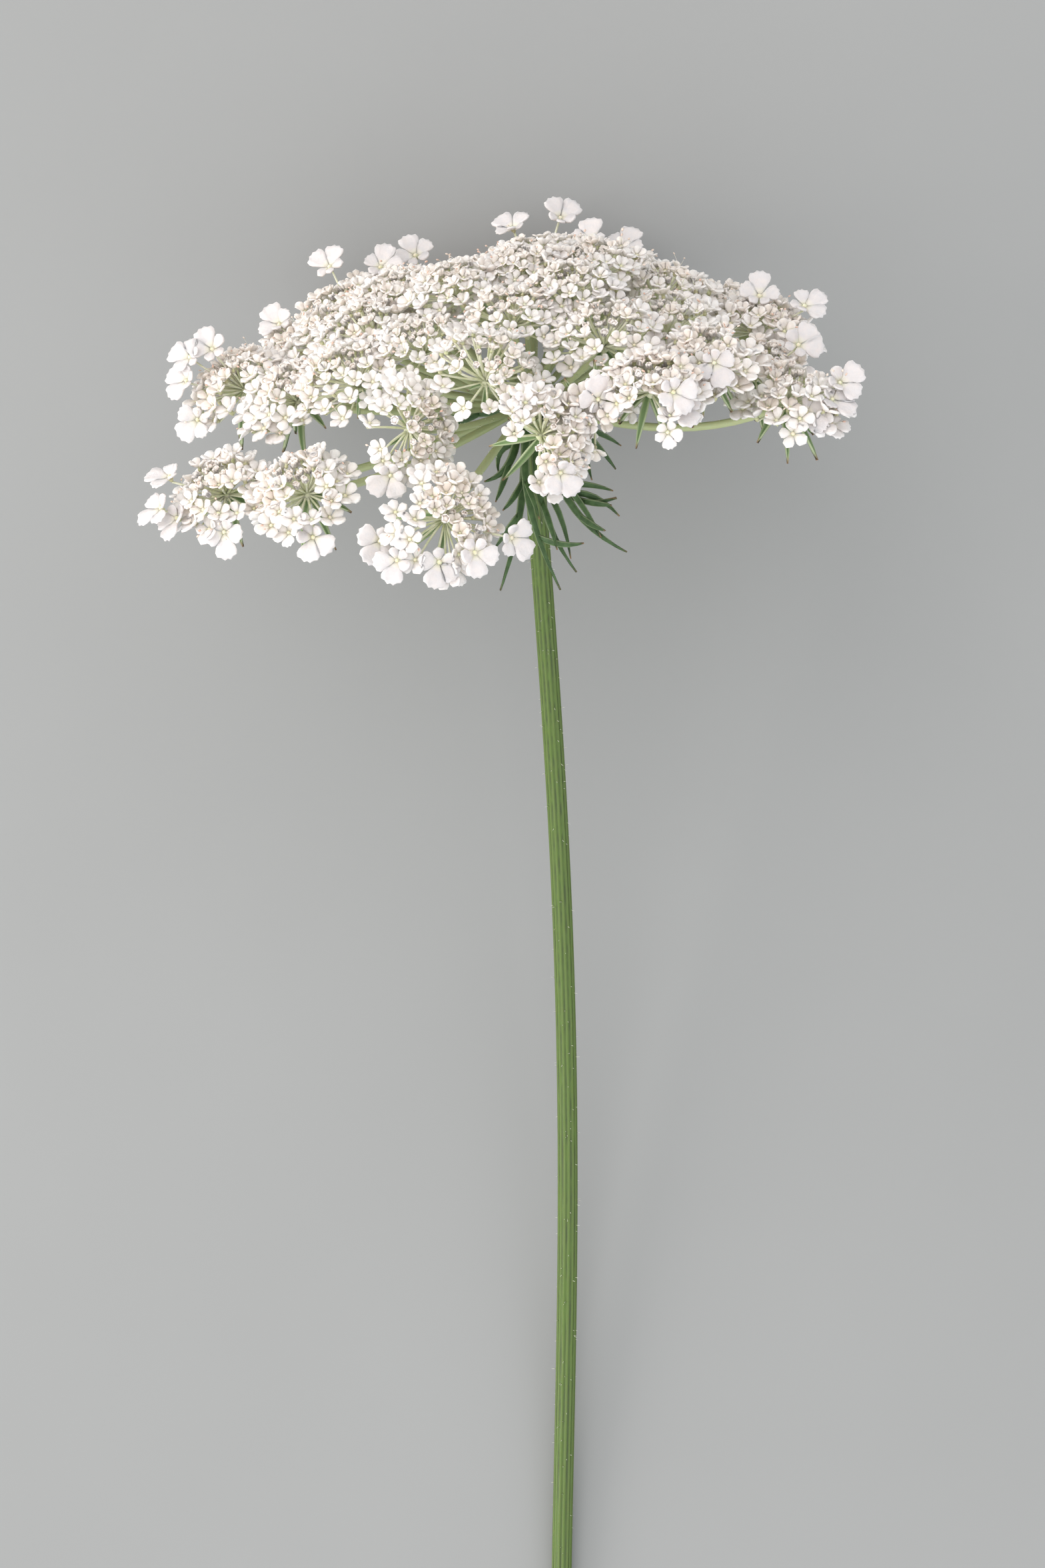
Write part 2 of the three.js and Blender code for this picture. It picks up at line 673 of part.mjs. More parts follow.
const rayCourses = plans.map((plan) => rayCurve(plan).getPoints(RAY_STEPS));
const bractCourses = BRACTS.flatMap(bractCurves).map((curve) => curve.getPoints(5));
const courses = [...rayCourses, ...rimPlans.flatMap(smallBractCourses), ...bractCourses];
const greenLines = courses.flatMap((points) =>
  points.slice(1).map((point, i) => new THREE.Line3(points[i], point)),
);
const florets = floretPlan(plans, greenLines);
for (const plan of plans) {
  const own = florets.filter((floret) => floret.plan === plan).map(floretSolid);
  const name = `umbellet_${String(plan.index + 1).padStart(2, "0")}`;
  flower.add(meshOf(name, standing(joined([hubSolid(plan), ...own])), WHITE));
}

// The origin is under the middle of the flower, on the surface.
const box = new THREE.Box3().setFromObject(flower);
flower.position.set(-(box.min.x + box.max.x) / 2, -(box.min.y + box.max.y) / 2, -box.min.z);

export default flower;
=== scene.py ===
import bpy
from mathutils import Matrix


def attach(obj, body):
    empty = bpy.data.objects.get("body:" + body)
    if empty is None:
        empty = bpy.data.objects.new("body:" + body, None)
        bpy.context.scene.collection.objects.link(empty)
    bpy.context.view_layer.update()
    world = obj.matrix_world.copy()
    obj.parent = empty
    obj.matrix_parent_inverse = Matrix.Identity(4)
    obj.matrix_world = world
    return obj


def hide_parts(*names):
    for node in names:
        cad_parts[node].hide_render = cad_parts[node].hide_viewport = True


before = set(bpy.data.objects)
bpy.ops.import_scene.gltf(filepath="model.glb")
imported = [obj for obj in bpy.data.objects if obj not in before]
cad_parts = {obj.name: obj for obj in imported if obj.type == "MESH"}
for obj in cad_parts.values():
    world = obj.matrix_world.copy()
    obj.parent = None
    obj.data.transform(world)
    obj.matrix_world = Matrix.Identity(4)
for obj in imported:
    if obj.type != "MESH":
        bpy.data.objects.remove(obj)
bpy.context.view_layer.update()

import math
from dataclasses import dataclass

import bmesh
import bpy
import numpy as np
from bpy.props import FloatProperty, FloatVectorProperty, IntProperty, PointerProperty
from bpy.types import Operator, Panel, PropertyGroup
from mathutils import Vector

bl_info = {
    "name": "Wild Carrot Flower",
    "version": (1, 0, 0),
    "blender": (4, 5, 0),
    "location": "View3D > Sidebar > Carrot Flower",
    "description": "A cut wild carrot flower with its florets, bracts and bristles, on a pale surface",
    "category": "Add Mesh",
}

MM = 0.001
SEED = 41
GOLDEN_ANGLE = math.pi * (3 - math.sqrt(5))

# Where the rays meet, and the head's own directions
JUNCTION = np.array([3.3997, 68.0875, 37.0]) * MM
HEAD_RISE = math.radians(26)
HEAD_LEAN = math.radians(10)
HEAD_RADIUS = 36 * MM
AXIS = np.array(
    [
        -math.sin(HEAD_LEAN) * math.cos(HEAD_RISE),
        math.cos(HEAD_LEAN) * math.cos(HEAD_RISE),
        math.sin(HEAD_RISE),
    ]
)
ACROSS = np.array([math.cos(HEAD_LEAN), math.sin(HEAD_LEAN), 0.0])
TOWARDS = np.cross(ACROSS, AXIS)
UP = np.array([0.0, 0.0, 1.0])

# Stem, in mm: its radius, how far its underside is pressed flat at the cut end, and its course across and
# along from the head to that end
STEM_RADIUS = 1.3
STEM_FLAT = 0.12
STEM_COURSE = [(0, 0), (1.6, -22), (3.3, -47.6), (4.8, -86), (4.6, -126), (4.0, -165)]

# Umbellets, in mm: each hub's place as across, away from the surface and along the axis, and its spread
RIM = [
    (-39.0, 14.5, 1.3, 6.8),
    (-29.0, 23.0, 3.2, 6.6),
    (-12.8, 32.5, 1.0, 7.0),
    (0.5, 29.5, 8.3, 6.6),
    (7.5, 24.0, 7.0, 6.0),
    (14.5, 26.0, 9.9, 6.2),
    (22.0, 18.0, 8.5, 6.7),
    (31.0, 18.0, 1.9, 6.9),
    (28.0, 8.0, 1.8, 6.5),
    (29.5, -2.5, 3.0, 6.7),
    (25.0, -14.0, 0.5, 7.5),
    (19.5, -23.5, -0.8, 7.5),
    (13.0, -31.0, 0.5, 8.0),
    (3.5, -34.0, 2.0, 8.5),
    (-9.5, -33.0, 1.2, 8.0),
    (-20.0, -29.5, 3.5, 8.0),
    (-26.5, -21.0, 3.0, 7.2),
    (-35.0, -9.5, 4.5, 7.0),
    (-28.5, 3.0, 7.0, 7.0),
]
MIDDLE = [
    (-15.2, 21.5, 8.7, 6.6),
    (-20.5, 9.5, 10.5, 8.0),
    (-5.0, 20.0, 12.5, 8.5),
    (10.0, 14.5, 12.0, 8.0),
    (18.0, 6.5, 8.5, 8.0),
    (18.0, -5.0, 7.8, 8.0),
    (13.5, -14.5, 6.6, 8.0),
    (7.5, -21.5, 7.5, 8.0),
    (-4.0, -23.0, 5.6, 8.0),
    (-14.5, -19.5, 7.5, 8.0),
    (-22.0, -11.0, 8.0, 7.2),
    (-18.0, -1.0, 11.0, 8.0),
]
CENTRE = [
    (-12.0, 9.5, 13.0, 7.0),
    (-0.5, 9.0, 14.5, 7.0),
    (7.0, 5.5, 15.0, 6.5),
    (10.5, -4.5, 13.5, 6.5),
    (2.0, -3.0, 15.5, 6.0),
    (-6.5, -0.5, 15.5, 6.5),
    (3.5, -12.0, 12.5, 6.5),
    (-5.0, -11.5, 11.2, 6.5),
    (-13.5, -8.0, 12.5, 6.5),
]
# Umbellets that face another way than the rest, as across, away from the surface and along the axis
TURNED = {
    3: (0.5, 0.7, 0.5),
    4: (0.5, 0.75, 0.45),
    5: (0.1, 0.75, -0.65),
    8: (0.25, 0.1, 1.0),
    20: (0.5, 0.8, 0.3),
    22: (0.4, 0.45, 0.8),
}
# Florets with the longest petals, in mm from their umbellet's hub to the right, up the view and nearer,
# and how far each opens upwards
SHOWY = [
    (1, -6.9, 2.1, 0.5, 0.2),
    (1, -7.9, -1.8, 2.0, 0.1),
    (1, -5.9, -3.0, 2.0, 0.2),
    (1, 0.0, -4.8, 5.0, 0.9),
    (2, 0.9, -5.4, 4.0, 0.8),
    (3, -7.9, -2.8, 1.0, 0.4),
    (3, -5.8, -5.2, 3.0, 0.8),
    (3, -0.7, -5.4, 3.0, 0.15),
    (3, 3.6, -4.3, 4.0, 0.8),
    (3, 8.0, -2.4, 2.0, 0.3),
    (4, 2.2, -4.7, 4.0, 0.4),
    (5, 0.1, 1.9, 5.5, 0.8),
    (6, 2.6, -0.3, 5.0, 0.8),
    (6, 3.2, -2.0, 3.5, 0.3),
    (7, 0.7, 0.1, 6.0, 0.8),
    (8, 6.4, 2.3, 2.0, 0.6),
    (8, 5.4, 0.2, 3.0, 0.2),
    (8, 2.2, -1.4, 4.0, 0.6),
    (9, 5.3, 3.7, 2.0, 0.8),
    (10, 0.3, 4.5, 1.5, 0.8),
    (10, 5.9, 3.2, 2.0, 0.9),
    (13, -2.5, 5.9, 2.0, 0.9),
    (13, 1.6, 5.2, 1.0, 0.6),
    (14, 3.4, 8.1, 1.0, 0.8),
    (14, -2.7, 6.8, 1.0, 0.7),
    (15, -2.6, 6.6, 1.5, 0.8),
    (16, -3.1, 6.2, 1.5, 0.9),
    (16, 3.4, 6.2, 0.5, 0.8),
    (17, -3.6, 3.6, 2.0, 0.8),
    (18, -4.0, 5.0, 1.5, 0.9),
    (18, -6.8, 4.0, 1.5, 0.5),
    (18, -5.8, -3.9, 2.5, 0.8),
    (18, -7.2, 1.0, 2.0, 0.6),
    (20, -2.3, -5.8, 3.0, 0.8),
]
# Openings between the florets, where hubs, rays and floret stalks show: to the right and up the view from
# where the rays meet, and the radius, in mm
OPENINGS = [
    (-8.8, 1.4, 0.9),
    (-6.1, 1.6, 1.1),
    (2.6, 3.7, 0.5),
    (9.7, 6.2, 0.5),
    (-12.4, 3.6, 0.5),
    (9.2, -4.2, 1.2),
    (11.7, -2.9, 1.4),
    (15.0, -1.4, 1.4),
    (-7.4, -2.4, 1.0),
    (-4.8, -4.8, 1.9),
    (-1.7, -7.5, 2.6),
    (-36.1, 1.6, 1.0),
    (-29.6, -0.2, 0.9),
    (26.3, 8.1, 0.9),
    (28.3, 2.9, 0.9),
    (-16.0, -10.9, 1.3),
    (-21.2, -4.5, 1.4),
    (36.0, 4.7, 1.3),
    (-38.2, -11.9, 1.0),
    (-27.7, -11.9, 1.0),
    (-11.3, -16.6, 1.4),
    (-16.2, -4.2, 1.2),
    (1.3, -3.7, 1.2),
    (0.4, -12.7, 1.5),
    (22.2, -2.3, 1.3),
]
# Florets that lie deeper than this under the place where the rays meet may show through an opening
OPENING_DEPTH = 15 * MM
# Where the flower is seen from, in mm from where the rays meet, and the height of what is seen there
VIEW_POINT = (-0.92, -47.6, 1000.0)
VIEW_HEIGHT = 196 * MM
# How far the umbellets on the rim turn outwards
UMBELLET_TURN = 0.4
# By ring of umbellets: the size of its florets, how far their stalks spread, how much longer the outer
# petals on its edges grow, and how thick its rays are
ZONE_SCALE = {"rim": 1.0, "middle": 0.86, "centre": 0.8}
WIDEST_STALK = {"rim": math.radians(98), "middle": math.radians(94), "centre": math.radians(86)}
GROWTH = {"rim": 0.12, "middle": 0.2, "centre": 0.1}
RAY_SHARE = {"rim": 0.84, "middle": 0.72, "centre": 0.65}
# What a floret on the rim grows more where it leans away from the head's axis
RIM_GROWTH = 0.3
HUB_RADIUS = 0.8 * MM
# How far the middle of a ray hangs, as a share of its length, and the rays that hang otherwise
RAY_SAG = 0.09
SAGS = {3: 0.0, 8: 0.19}
# Grooves between the ribs, as a share of the radius
STEM_GROOVE = 0.13
RAY_GROOVE = 0.1
# The stem's swollen top: how far under the place where the rays meet it starts, and how long it is
SWELLING_DROP = 3.6 * MM
SWELLING_LENGTH = 4.6 * MM
# Small bracts: where they stand round a hub, in radians from its outer side, and their size
SMALL_BRACT_TURNS = {"rim": [-0.9, 0.0, 0.9, -1.9, 1.9, 3.1], "middle": [-1.2, 0.3, 1.7]}
SMALL_BRACT_SCALE = {"rim": 1.0, "middle": 0.55}

# Feathery bracts: the azimuth of the root, then the middle and the tip of the rib, in mm from where the
# rays meet to the right, up the view and nearer. Each lobe: its start along the rib, its middle and its tip
BRACTS = [
    (
        38,
        (2.6, -14.2, 4.5),
        (12.1, -18.7, 4.0),
        [(0.3, (6.5, -12.5, 4.5), (8.9, -16.9, 4.5)), (0.62, (7.8, -15.6, 5.0), (9.4, -16.1, 5.5))],
    ),
    (
        8,
        (2.0, -15.0, 3.5),
        (10.8, -11.9, 3.0),
        [
            (0.55, (8.3, -11.0, 3.0), (11.2, -14.2, 2.5)),
            (0.7, (8.8, -12.8, 3.8), (10.2, -12.9, 4.0)),
            (0.45, (7.0, -9.9, 2.5), (10.4, -11.0, 2.0)),
        ],
    ),
    (
        -22,
        (7.0, -2.5, -4.0),
        (10.8, -8.0, -5.5),
        [(0.4, (8.5, -3.0, -5.0), (11.5, -5.0, -7.0)), (0.5, (6.8, -6.0, -3.5), (7.8, -9.5, -3.5))],
    ),
    (
        68,
        (-0.6, -12.9, 7.0),
        (5.8, -21.3, 6.5),
        [(0.35, (4.2, -13.2, 5.5), (5.1, -19.6, 5.0)), (0.5, (2.6, -15.5, 8.0), (3.4, -18.6, 8.5))],
    ),
    (
        98,
        (-2.4, -11.0, 7.5),
        (3.8, -23.5, 6.5),
        [(0.72, (4.0, -18.4, 8.0), (6.7, -17.7, 8.0)), (0.4, (0.2, -11.5, 8.5), (1.2, -14.8, 9.0))],
    ),
    (
        128,
        (0.0, -12.9, 5.0),
        (-3.7, -23.5, 4.0),
        [(0.35, (-2.0, -12.3, 5.5), (-3.4, -13.6, 5.5)), (0.55, (-2.8, -16.0, 4.5), (-4.4, -18.3, 4.0))],
    ),
    (
        160,
        (-1.5, -9.0, 3.0),
        (-5.7, -9.9, 3.2),
        [(0.5, (-3.3, -10.3, 3.8), (-4.3, -12.5, 4.0)), (0.25, (-4.6, -5.4, 1.5), (-3.9, -8.9, 1.0))],
    ),
    (
        215,
        (-8.6, -0.5, -7.1),
        (-14.5, -2.0, -12.7),
        [(0.35, (-7.5, -1.6, -4.5), (-10.6, -3.2, -6.0)), (0.5, (-9.8, 1.6, -9.0), (-13.6, 1.4, -10.5))],
    ),
    (
        285,
        (1.6, 1.7, -11.1),
        (3.0, 0.9, -19.3),
        [(0.35, (4.0, 0.2, -9.5), (6.2, -1.6, -13.5)), (0.5, (-0.4, 1.4, -11.5), (-2.0, 0.2, -15.5))],
    ),
]
# Where the bracts leave the stem: how far out and how far under the place where the rays meet
BRACT_ROOT = 1.9 * MM
BRACT_DROP = 1.6 * MM
RIB_BREADTH = 1.15 * MM
LOBE_BREADTH = 0.9 * MM
STEPS_ALONG_RIB = 40
STEPS_ALONG_LOBE = 16

# Lights: place from where the rays meet and width, in metres, then watts and colour
LIGHTS = {
    "key": ((-0.6, 0.4, 0.75), 1.4, 5.8, "#FFF6F0"),
    "side": ((-0.75, -0.1, 0.24), 0.5, 3.6, "#FFF9F4"),
    "fill": ((0.75, -0.25, 0.6), 0.9, 1.5, "#F9F9FF"),
    "front": ((-0.2, -0.6, 0.8), 1.1, 2.0, "#FFFBF8"),
}

# The order of the finishes on an umbellet and on the green piece
PETAL, STALK, HEART, POLLEN = range(4)
SKIN, LEAF, HAIR = range(3)


# Sizes and colours


def to_linear(text):
    """An sRGB hex colour as the linear numbers that the renderer works in."""
    values = [int(text[i : i + 2], 16) / 255 for i in (1, 3, 5)]
    return [v / 12.92 if v <= 0.04045 else ((v + 0.055) / 1.055) ** 2.4 for v in values]


def colour(name, description, text):
    start = to_linear(text)
    return FloatVectorProperty(
        name=name, description=description, subtype="COLOR", size=3, min=0, max=1, default=start
    )


def length(name, description, millimetres):
    start = millimetres * MM
    return FloatProperty(name=name, description=description, unit="LENGTH", default=start, min=0)


def number_of(name, description, start):
    return IntProperty(name=name, description=description, default=start, min=1)


class FloretSizes(PropertyGroup):
    rim_count: number_of("Rim florets", "Florets on each umbellet of the rim", 56)
    middle_count: number_of("Middle florets", "Florets on each umbellet inside the rim", 52)
    centre_count: number_of("Centre florets", "Florets on each umbellet at the top", 46)
    petal: length("Petal", "Length of an ordinary petal", 1.55)
    outer_petal: length("Outer petal", "Length of the longest petals, on the rim of the head", 3.0)
    pedicel: length("Floret stalk", "Radius of the stalk of a floret", 0.15)
    filament: length("Filament", "Length of a stamen's thread", 1.9)


class GreenSizes(PropertyGroup):
    ribs: number_of("Ribs", "Ribs round the stem", 13)
    ray: length("Ray", "Radius of a ray", 0.6)
    bristle: length("Bristle", "Length of a bristle on the stem", 0.65)
    bristles: number_of("Bristles", "Bristles on the stem", 260)
    ray_bristle: length("Ray bristle", "Length of a bristle on a ray", 0.35)
    ray_bristles: number_of("Ray bristles", "Bristles on each ray", 26)
    small_bract: length("Small bract", "Length of the bract under an umbellet", 8.2)


class FlowerColours(PropertyGroup):
    # The showy petals' grey-white and the cream and bud of the florets further in are partly their own
    # colours and partly painted light: the outer petals, which catch the most light, are set darker, and
    # the shaded florets in the mass paler
    petal: colour("Petal", "Open petals", "#D8D5D6")
    cream: colour("Cream", "Open petals further in", "#FCF5F1")
    bud: colour("Bud", "Young florets in the middle of an umbellet", "#F5E6DA")
    heart: colour("Heart", "Nectar disc in a floret", "#E8E4CC")
    stalk: colour("Stalk", "Floret stalks", "#DFE4C4")
    ovary: colour("Ovary", "Seed vessel under a floret", "#B7B088")
    rib: colour("Rib", "Ribs of the stem", "#5F7536")
    groove: colour("Groove", "Grooves of the stem", "#2C400E")
    leaf: colour("Bract", "Bracts", "#35512B")
    margin: colour("Margin", "Pale edge of a bract", "#AEBB96")
    paper: colour("Surface", "Paper that the flower lies on", "#979999")


# Directions and courses


def unit(v):
    return v / np.linalg.norm(v)


def head_point(u, w, h):
    """A place in the head's own directions, in mm, as a point of the part in metres."""
    return JUNCTION + (u * ACROSS + w * TOWARDS + h * AXIS) * MM


@dataclass
class Umbellet:
    """An umbellet's place, and the directions that it faces, that lead outwards and that lead sideways."""

    name: str
    number: int
    zone: str
    hub: np.ndarray
    spread: float
    facing: np.ndarray
    away: np.ndarray
    side: np.ndarray


def umbellet_plans():
    zones = {"rim": RIM, "middle": MIDDLE, "centre": CENTRE}
    rows = [(row, zone) for zone, table in zones.items() for row in table]
    plans = []
    for number, ((u, w, h, spread), zone) in enumerate(rows, 1):
        reach = math.hypot(u, w)
        outwards = (u * ACROSS + w * TOWARDS) / reach
        facing = unit(AXIS + outwards * UMBELLET_TURN * min(1, reach * MM / HEAD_RADIUS))
        if number in TURNED:
            facing = unit(np.array(TURNED[number]) @ np.array([ACROSS, TOWARDS, AXIS]))
        away = unit(outwards - facing * outwards.dot(facing))
        side = np.cross(facing, away)
        name = f"umbellet_{number:02d}"
        hub = head_point(u, w, h)
        plans.append(Umbellet(name, number, zone, hub, spread * MM, facing, away, side))
    return plans


def quadratic(start, middle, end, steps):
    """Points on a curve from start to end that is drawn towards the middle."""
    t = np.linspace(0, 1, steps + 1)[:, None]
    return (1 - t) ** 2 * start + 2 * t * (1 - t) * middle + t**2 * end


def ray_course(plan, steps=14):
    """A ray's centre line from where the rays meet to just short of its umbellet's hub."""
    run = plan.hub - JUNCTION
    middle = JUNCTION + 0.6 * run - AXIS * SAGS.get(plan.number, RAY_SAG) * np.linalg.norm(run)
    return quadratic(JUNCTION, middle, plan.hub - unit(plan.hub - middle) * 0.2 * MM, steps)


def stem_course(steps=110):
    """The stem's centre line from the head to the cut end, which lies on the surface."""
    table = np.array(STEM_COURSE, float)
    end = table[-1, 1]
    y = np.linspace(0, end, steps + 1)
    bend = np.polyfit(table[:, 1], table[:, 0], 4)
    share = 1 - y / end
    low = STEM_RADIUS - STEM_FLAT
    top = JUNCTION[2] / MM
    x = np.polyval(bend, y) - np.polyval(bend, 0)
    line = np.stack([x, y, low + (top - low) * share**2], 1) * MM
    line[:, :2] += JUNCTION[:2]
    return line


# Shapes that are modelled once and copied

# How near to a line of vertices counts as on it
NEAR = 0.02


@dataclass
class Shape:
    """A modelled shape: its points, its faces as corners and sizes, and what the materials read."""

    points: np.ndarray
    corners: np.ndarray
    sizes: np.ndarray
    along: np.ndarray
    across: np.ndarray


def work_on(obj):
    bpy.ops.object.select_all(action="DESELECT")
    obj.select_set(True)
    bpy.context.view_layer.objects.active = obj


def select_where(obj, test):
    """In edit mode, selects the vertices whose place passes the test, and nothing else."""
    form = bmesh.from_edit_mesh(obj.data)
    for vertex in form.verts:
        vertex.select = bool(test(vertex.co))
    form.select_mode = {"VERT"}
    form.select_flush_mode()
    bmesh.update_edit_mesh(obj.data)


def resize(obj, test, value, centre):
    select_where(obj, test)
    bpy.ops.transform.resize(value=value, center_override=centre)


def move(obj, test, value):
    select_where(obj, test)
    bpy.ops.transform.translate(value=value)


def marked(obj, along, across):
    """Writes the two numbers that the materials read to every vertex."""
    for name, rule in (("along", along), ("across", across)):
        layer = obj.data.attributes.new(name, "FLOAT", "POINT")
        layer.data.foreach_set("value", [rule(v.co) for v in obj.data.vertices])


def taken(obj):
    """Reads a modelled shape and removes its object."""
    mesh = obj.data
    count = len(mesh.vertices)
    points = np.empty(count * 3)
    mesh.vertices.foreach_get("co", points)
    corners = np.empty(len(mesh.loops), np.int32)
    mesh.loops.foreach_get("vertex_index", corners)
    sizes = np.empty(len(mesh.polygons), np.int32)
    mesh.polygons.foreach_get("loop_total", sizes)
    values = {}
    for name in ("along", "across"):
        values[name] = np.empty(count)
        mesh.attributes[name].data.foreach_get("value", values[name])
    shape = Shape(points.reshape(-1, 3), corners, sizes, values["along"], values["across"])
    bpy.data.objects.remove(obj)
    bpy.data.meshes.remove(mesh)
    return shape


def thickened(obj, thickness):
    work_on(obj)
    wall = obj.modifiers.new("Wall", "SOLIDIFY")
    wall.thickness = thickness
    wall.offset = 0
    bpy.ops.object.modifier_apply(modifier=wall.name)


def sheet_of(rows, columns):
    """A flat sheet one unit long along +X and one wide, with its base at the origin."""
    bpy.ops.object.select_all(action="DESELECT")
    bpy.ops.mesh.primitive_grid_add(
        x_subdivisions=rows, y_subdivisions=columns, size=1, location=(0.5, 0, 0)
    )
    obj = bpy.context.active_object
    bpy.ops.object.transform_apply(location=True, rotation=False, scale=False)
    marked(obj, lambda co: co.x, lambda co: 2 * abs(co.y))
    return obj


def petal_shape(widths, lifts, cup, notch, curl, thickness):
    """A petal: each row of a sheet is narrowed and lifted, its edges raised and its tip notched."""
    rows = len(widths) - 1
    edge, corner, corner_back, tip = 0.24, 0.16, 0.13, 1 - NEAR
    obj = sheet_of(rows, 4 if rows > 4 else 2)
    bpy.ops.object.mode_set(mode="EDIT")
    for i, (width, lift) in enumerate(zip(widths, lifts)):
        x = i / rows
        resize(obj, lambda co: abs(co.x - x) < NEAR, (1, width, 1), (x, 0, 0))
        move(obj, lambda co: abs(co.x - x) < NEAR, (0, 0, lift))
    move(obj, lambda co: abs(co.y) > edge and 0.3 < co.x < tip, (0, 0, cup))
    move(obj, lambda co: abs(co.y) > corner and co.x > tip, (-corner_back, 0, cup))
    move(obj, lambda co: abs(co.y) < NEAR and co.x > tip, (-notch, 0, curl))
    bpy.ops.object.mode_set(mode="OBJECT")
    thickened(obj, thickness)
    return taken(obj)


def blade_shape(widths, fold):
    """A narrow leaf: rows narrowed to a point, folded down along the middle into a gutter."""
    rows = len(widths) - 1
    thickness = 0.28
    obj = sheet_of(rows, 4)
    bpy.ops.object.mode_set(mode="EDIT")
    for i, width in enumerate(widths):
        x = i / rows
        resize(obj, lambda co: abs(co.x - x) < NEAR, (1, width, 1), (x, 0, 0))
    move(obj, lambda co: abs(co.y) < NEAR and NEAR < co.x < 1 - NEAR, (0, 0, -fold))
    bpy.ops.object.mode_set(mode="OBJECT")
    thickened(obj, thickness)
    return taken(obj)


def turned_shape(sections, sides, ribs=0.0):
    """A round closed shape along +X: a disc drawn out through its sections, then ribbed."""
    (start, radius), *rest = sections
    bpy.ops.object.select_all(action="DESELECT")
    bpy.ops.mesh.primitive_circle_add(
        vertices=sides,
        radius=radius,
        fill_type="NGON",
        location=(start, 0, 0),
        rotation=(0, math.pi / 2, 0),
    )
    obj = bpy.context.active_object
    bpy.ops.object.transform_apply(location=True, rotation=True, scale=False)
    bpy.ops.object.mode_set(mode="EDIT")
    bpy.ops.mesh.select_all(action="SELECT")
    at = start
    for x, wide in rest:
        bpy.ops.mesh.extrude_region_move(TRANSFORM_OT_translate={"value": (x - at, 0, 0)})
        bpy.ops.transform.resize(value=(1, wide / radius, wide / radius), center_override=(x, 0, 0))
        at, radius = x, wide
    if ribs:
        step = 2 * math.pi / sides

        def in_groove(co):
            return round(math.atan2(co.z, co.y) / step) % 2

        resize(obj, in_groove, (1, 1 - ribs, 1 - ribs), (0, 0, 0))
    bpy.ops.mesh.select_all(action="SELECT")
    bpy.ops.mesh.normals_make_consistent(inside=False)
    bpy.ops.object.mode_set(mode="OBJECT")
    widest = {}
    for v in obj.data.vertices:
        key = round(v.co.x, 4)
        widest[key] = max(widest.get(key, 0), math.hypot(v.co.y, v.co.z))

    def on_rib(co):
        return math.hypot(co.y, co.z) / max(widest[round(co.x, 4)], 1e-9)

    least = 1 - ribs if ribs else 0
    marked(obj, lambda co: co.x, lambda co: (on_rib(co) - least) / (1 - least))
    return taken(obj)


class Bunch:
    """Copies of modelled shapes, gathered into one mesh of its own."""

    def __init__(self):
        self.points, self.corners, self.sizes = [], [], []
        self.finishes, self.values = [], {"along": [], "across": [], "tone": []}
        self.count = 0

    def add(self, shape, points, finish, tone=0.5):
        self.points.append(points)
        self.corners.append(shape.corners + self.count)
        self.sizes.append(shape.sizes)
        self.finishes.append(np.full(len(shape.sizes), finish, np.int32))
        self.values["along"].append(shape.along)
        self.values["across"].append(shape.across)
        self.values["tone"].append(np.broadcast_to(tone, len(points)))
        self.count += len(points)

    def piece(self, name, materials):
        """The bunch as a piece that rides on the flower."""
        mesh = bpy.data.meshes.new(name)
        points = np.concatenate(self.points)
        points[:, 2] = settled(points[:, 2])
        corners = np.concatenate(self.corners)
        sizes = np.concatenate(self.sizes)
        mesh.vertices.add(len(points))
        mesh.vertices.foreach_set("co", points.ravel())
        mesh.loops.add(len(corners))
        mesh.loops.foreach_set("vertex_index", corners)
        mesh.polygons.add(len(sizes))
        starts = np.concatenate([[0], np.cumsum(sizes)[:-1]]).astype(np.int32)
        mesh.polygons.foreach_set("loop_start", starts)
        mesh.polygons.foreach_set("material_index", np.concatenate(self.finishes))
        mesh.polygons.foreach_set("use_smooth", np.ones(len(sizes), bool))
        for key, parts in self.values.items():
            layer = mesh.attributes.new(key, "FLOAT", "POINT")
            layer.data.foreach_set("value", np.concatenate(parts))
        mesh.update(calc_edges=True)
        for material in materials:
            mesh.materials.append(material)
        obj = bpy.data.objects.new(name, mesh)
        bpy.context.collection.objects.link(obj)
        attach(obj, "root")
        return obj


def settled(z):
    """Heights near the surface, eased so that what would dip under it is pressed against it."""
    soft = 0.3 * MM
    return np.where(z < soft, soft * np.exp((np.minimum(z, soft) - soft) / soft), z)


def placed(shape, origin, forward, sideways, upwards, scale):
    x, y, z = (shape.points * np.array(scale)).T
    return origin + np.outer(x, forward) + np.outer(y, sideways) + np.outer(z, upwards)


def bent(shape, course, side, breadth, depth=None):
    """A shape's points with its length laid along a course and its breadth kept near one direction."""
    depth = breadth if depth is None else depth
    steps = len(course) - 1
    at = np.clip(shape.points[:, 0], 0, 1) * steps
    low = np.minimum(at.astype(int), steps - 1)
    share = (at - low)[:, None]
    centre = course[low] * (1 - share) + course[low + 1] * share
    slopes = np.gradient(course, axis=0)
    slopes /= np.linalg.norm(slopes, axis=1)[:, None]
    slope = slopes[low] * (1 - share) + slopes[low + 1] * share
    slope /= np.linalg.norm(slope, axis=1)[:, None]
    sideways = side - slope * (slope @ side)[:, None]
    sideways /= np.linalg.norm(sideways, axis=1)[:, None]
    upwards = np.cross(slope, sideways)
    return centre + sideways * shape.points[:, 1:2] * breadth + upwards * shape.points[:, 2:3] * depth


# Materials


@dataclass
class Grain:
    """A soft noise: its lumps to the millimetre, how fine it goes and how it is drawn out."""

    per_mm: float
    detail: float = 2.0
    stretch: tuple = (1, 1, 1)


@dataclass
class Coat:
    """A colour over others, from none at the low end of a mark or a grain to its most at the high."""

    follows: object
    low: float
    high: float
    colour: list
    most: object = 1.0


@dataclass
class Relief:
    """Fine bumps on a skin, with their depth in mm."""

    grain: Grain
    depth: float


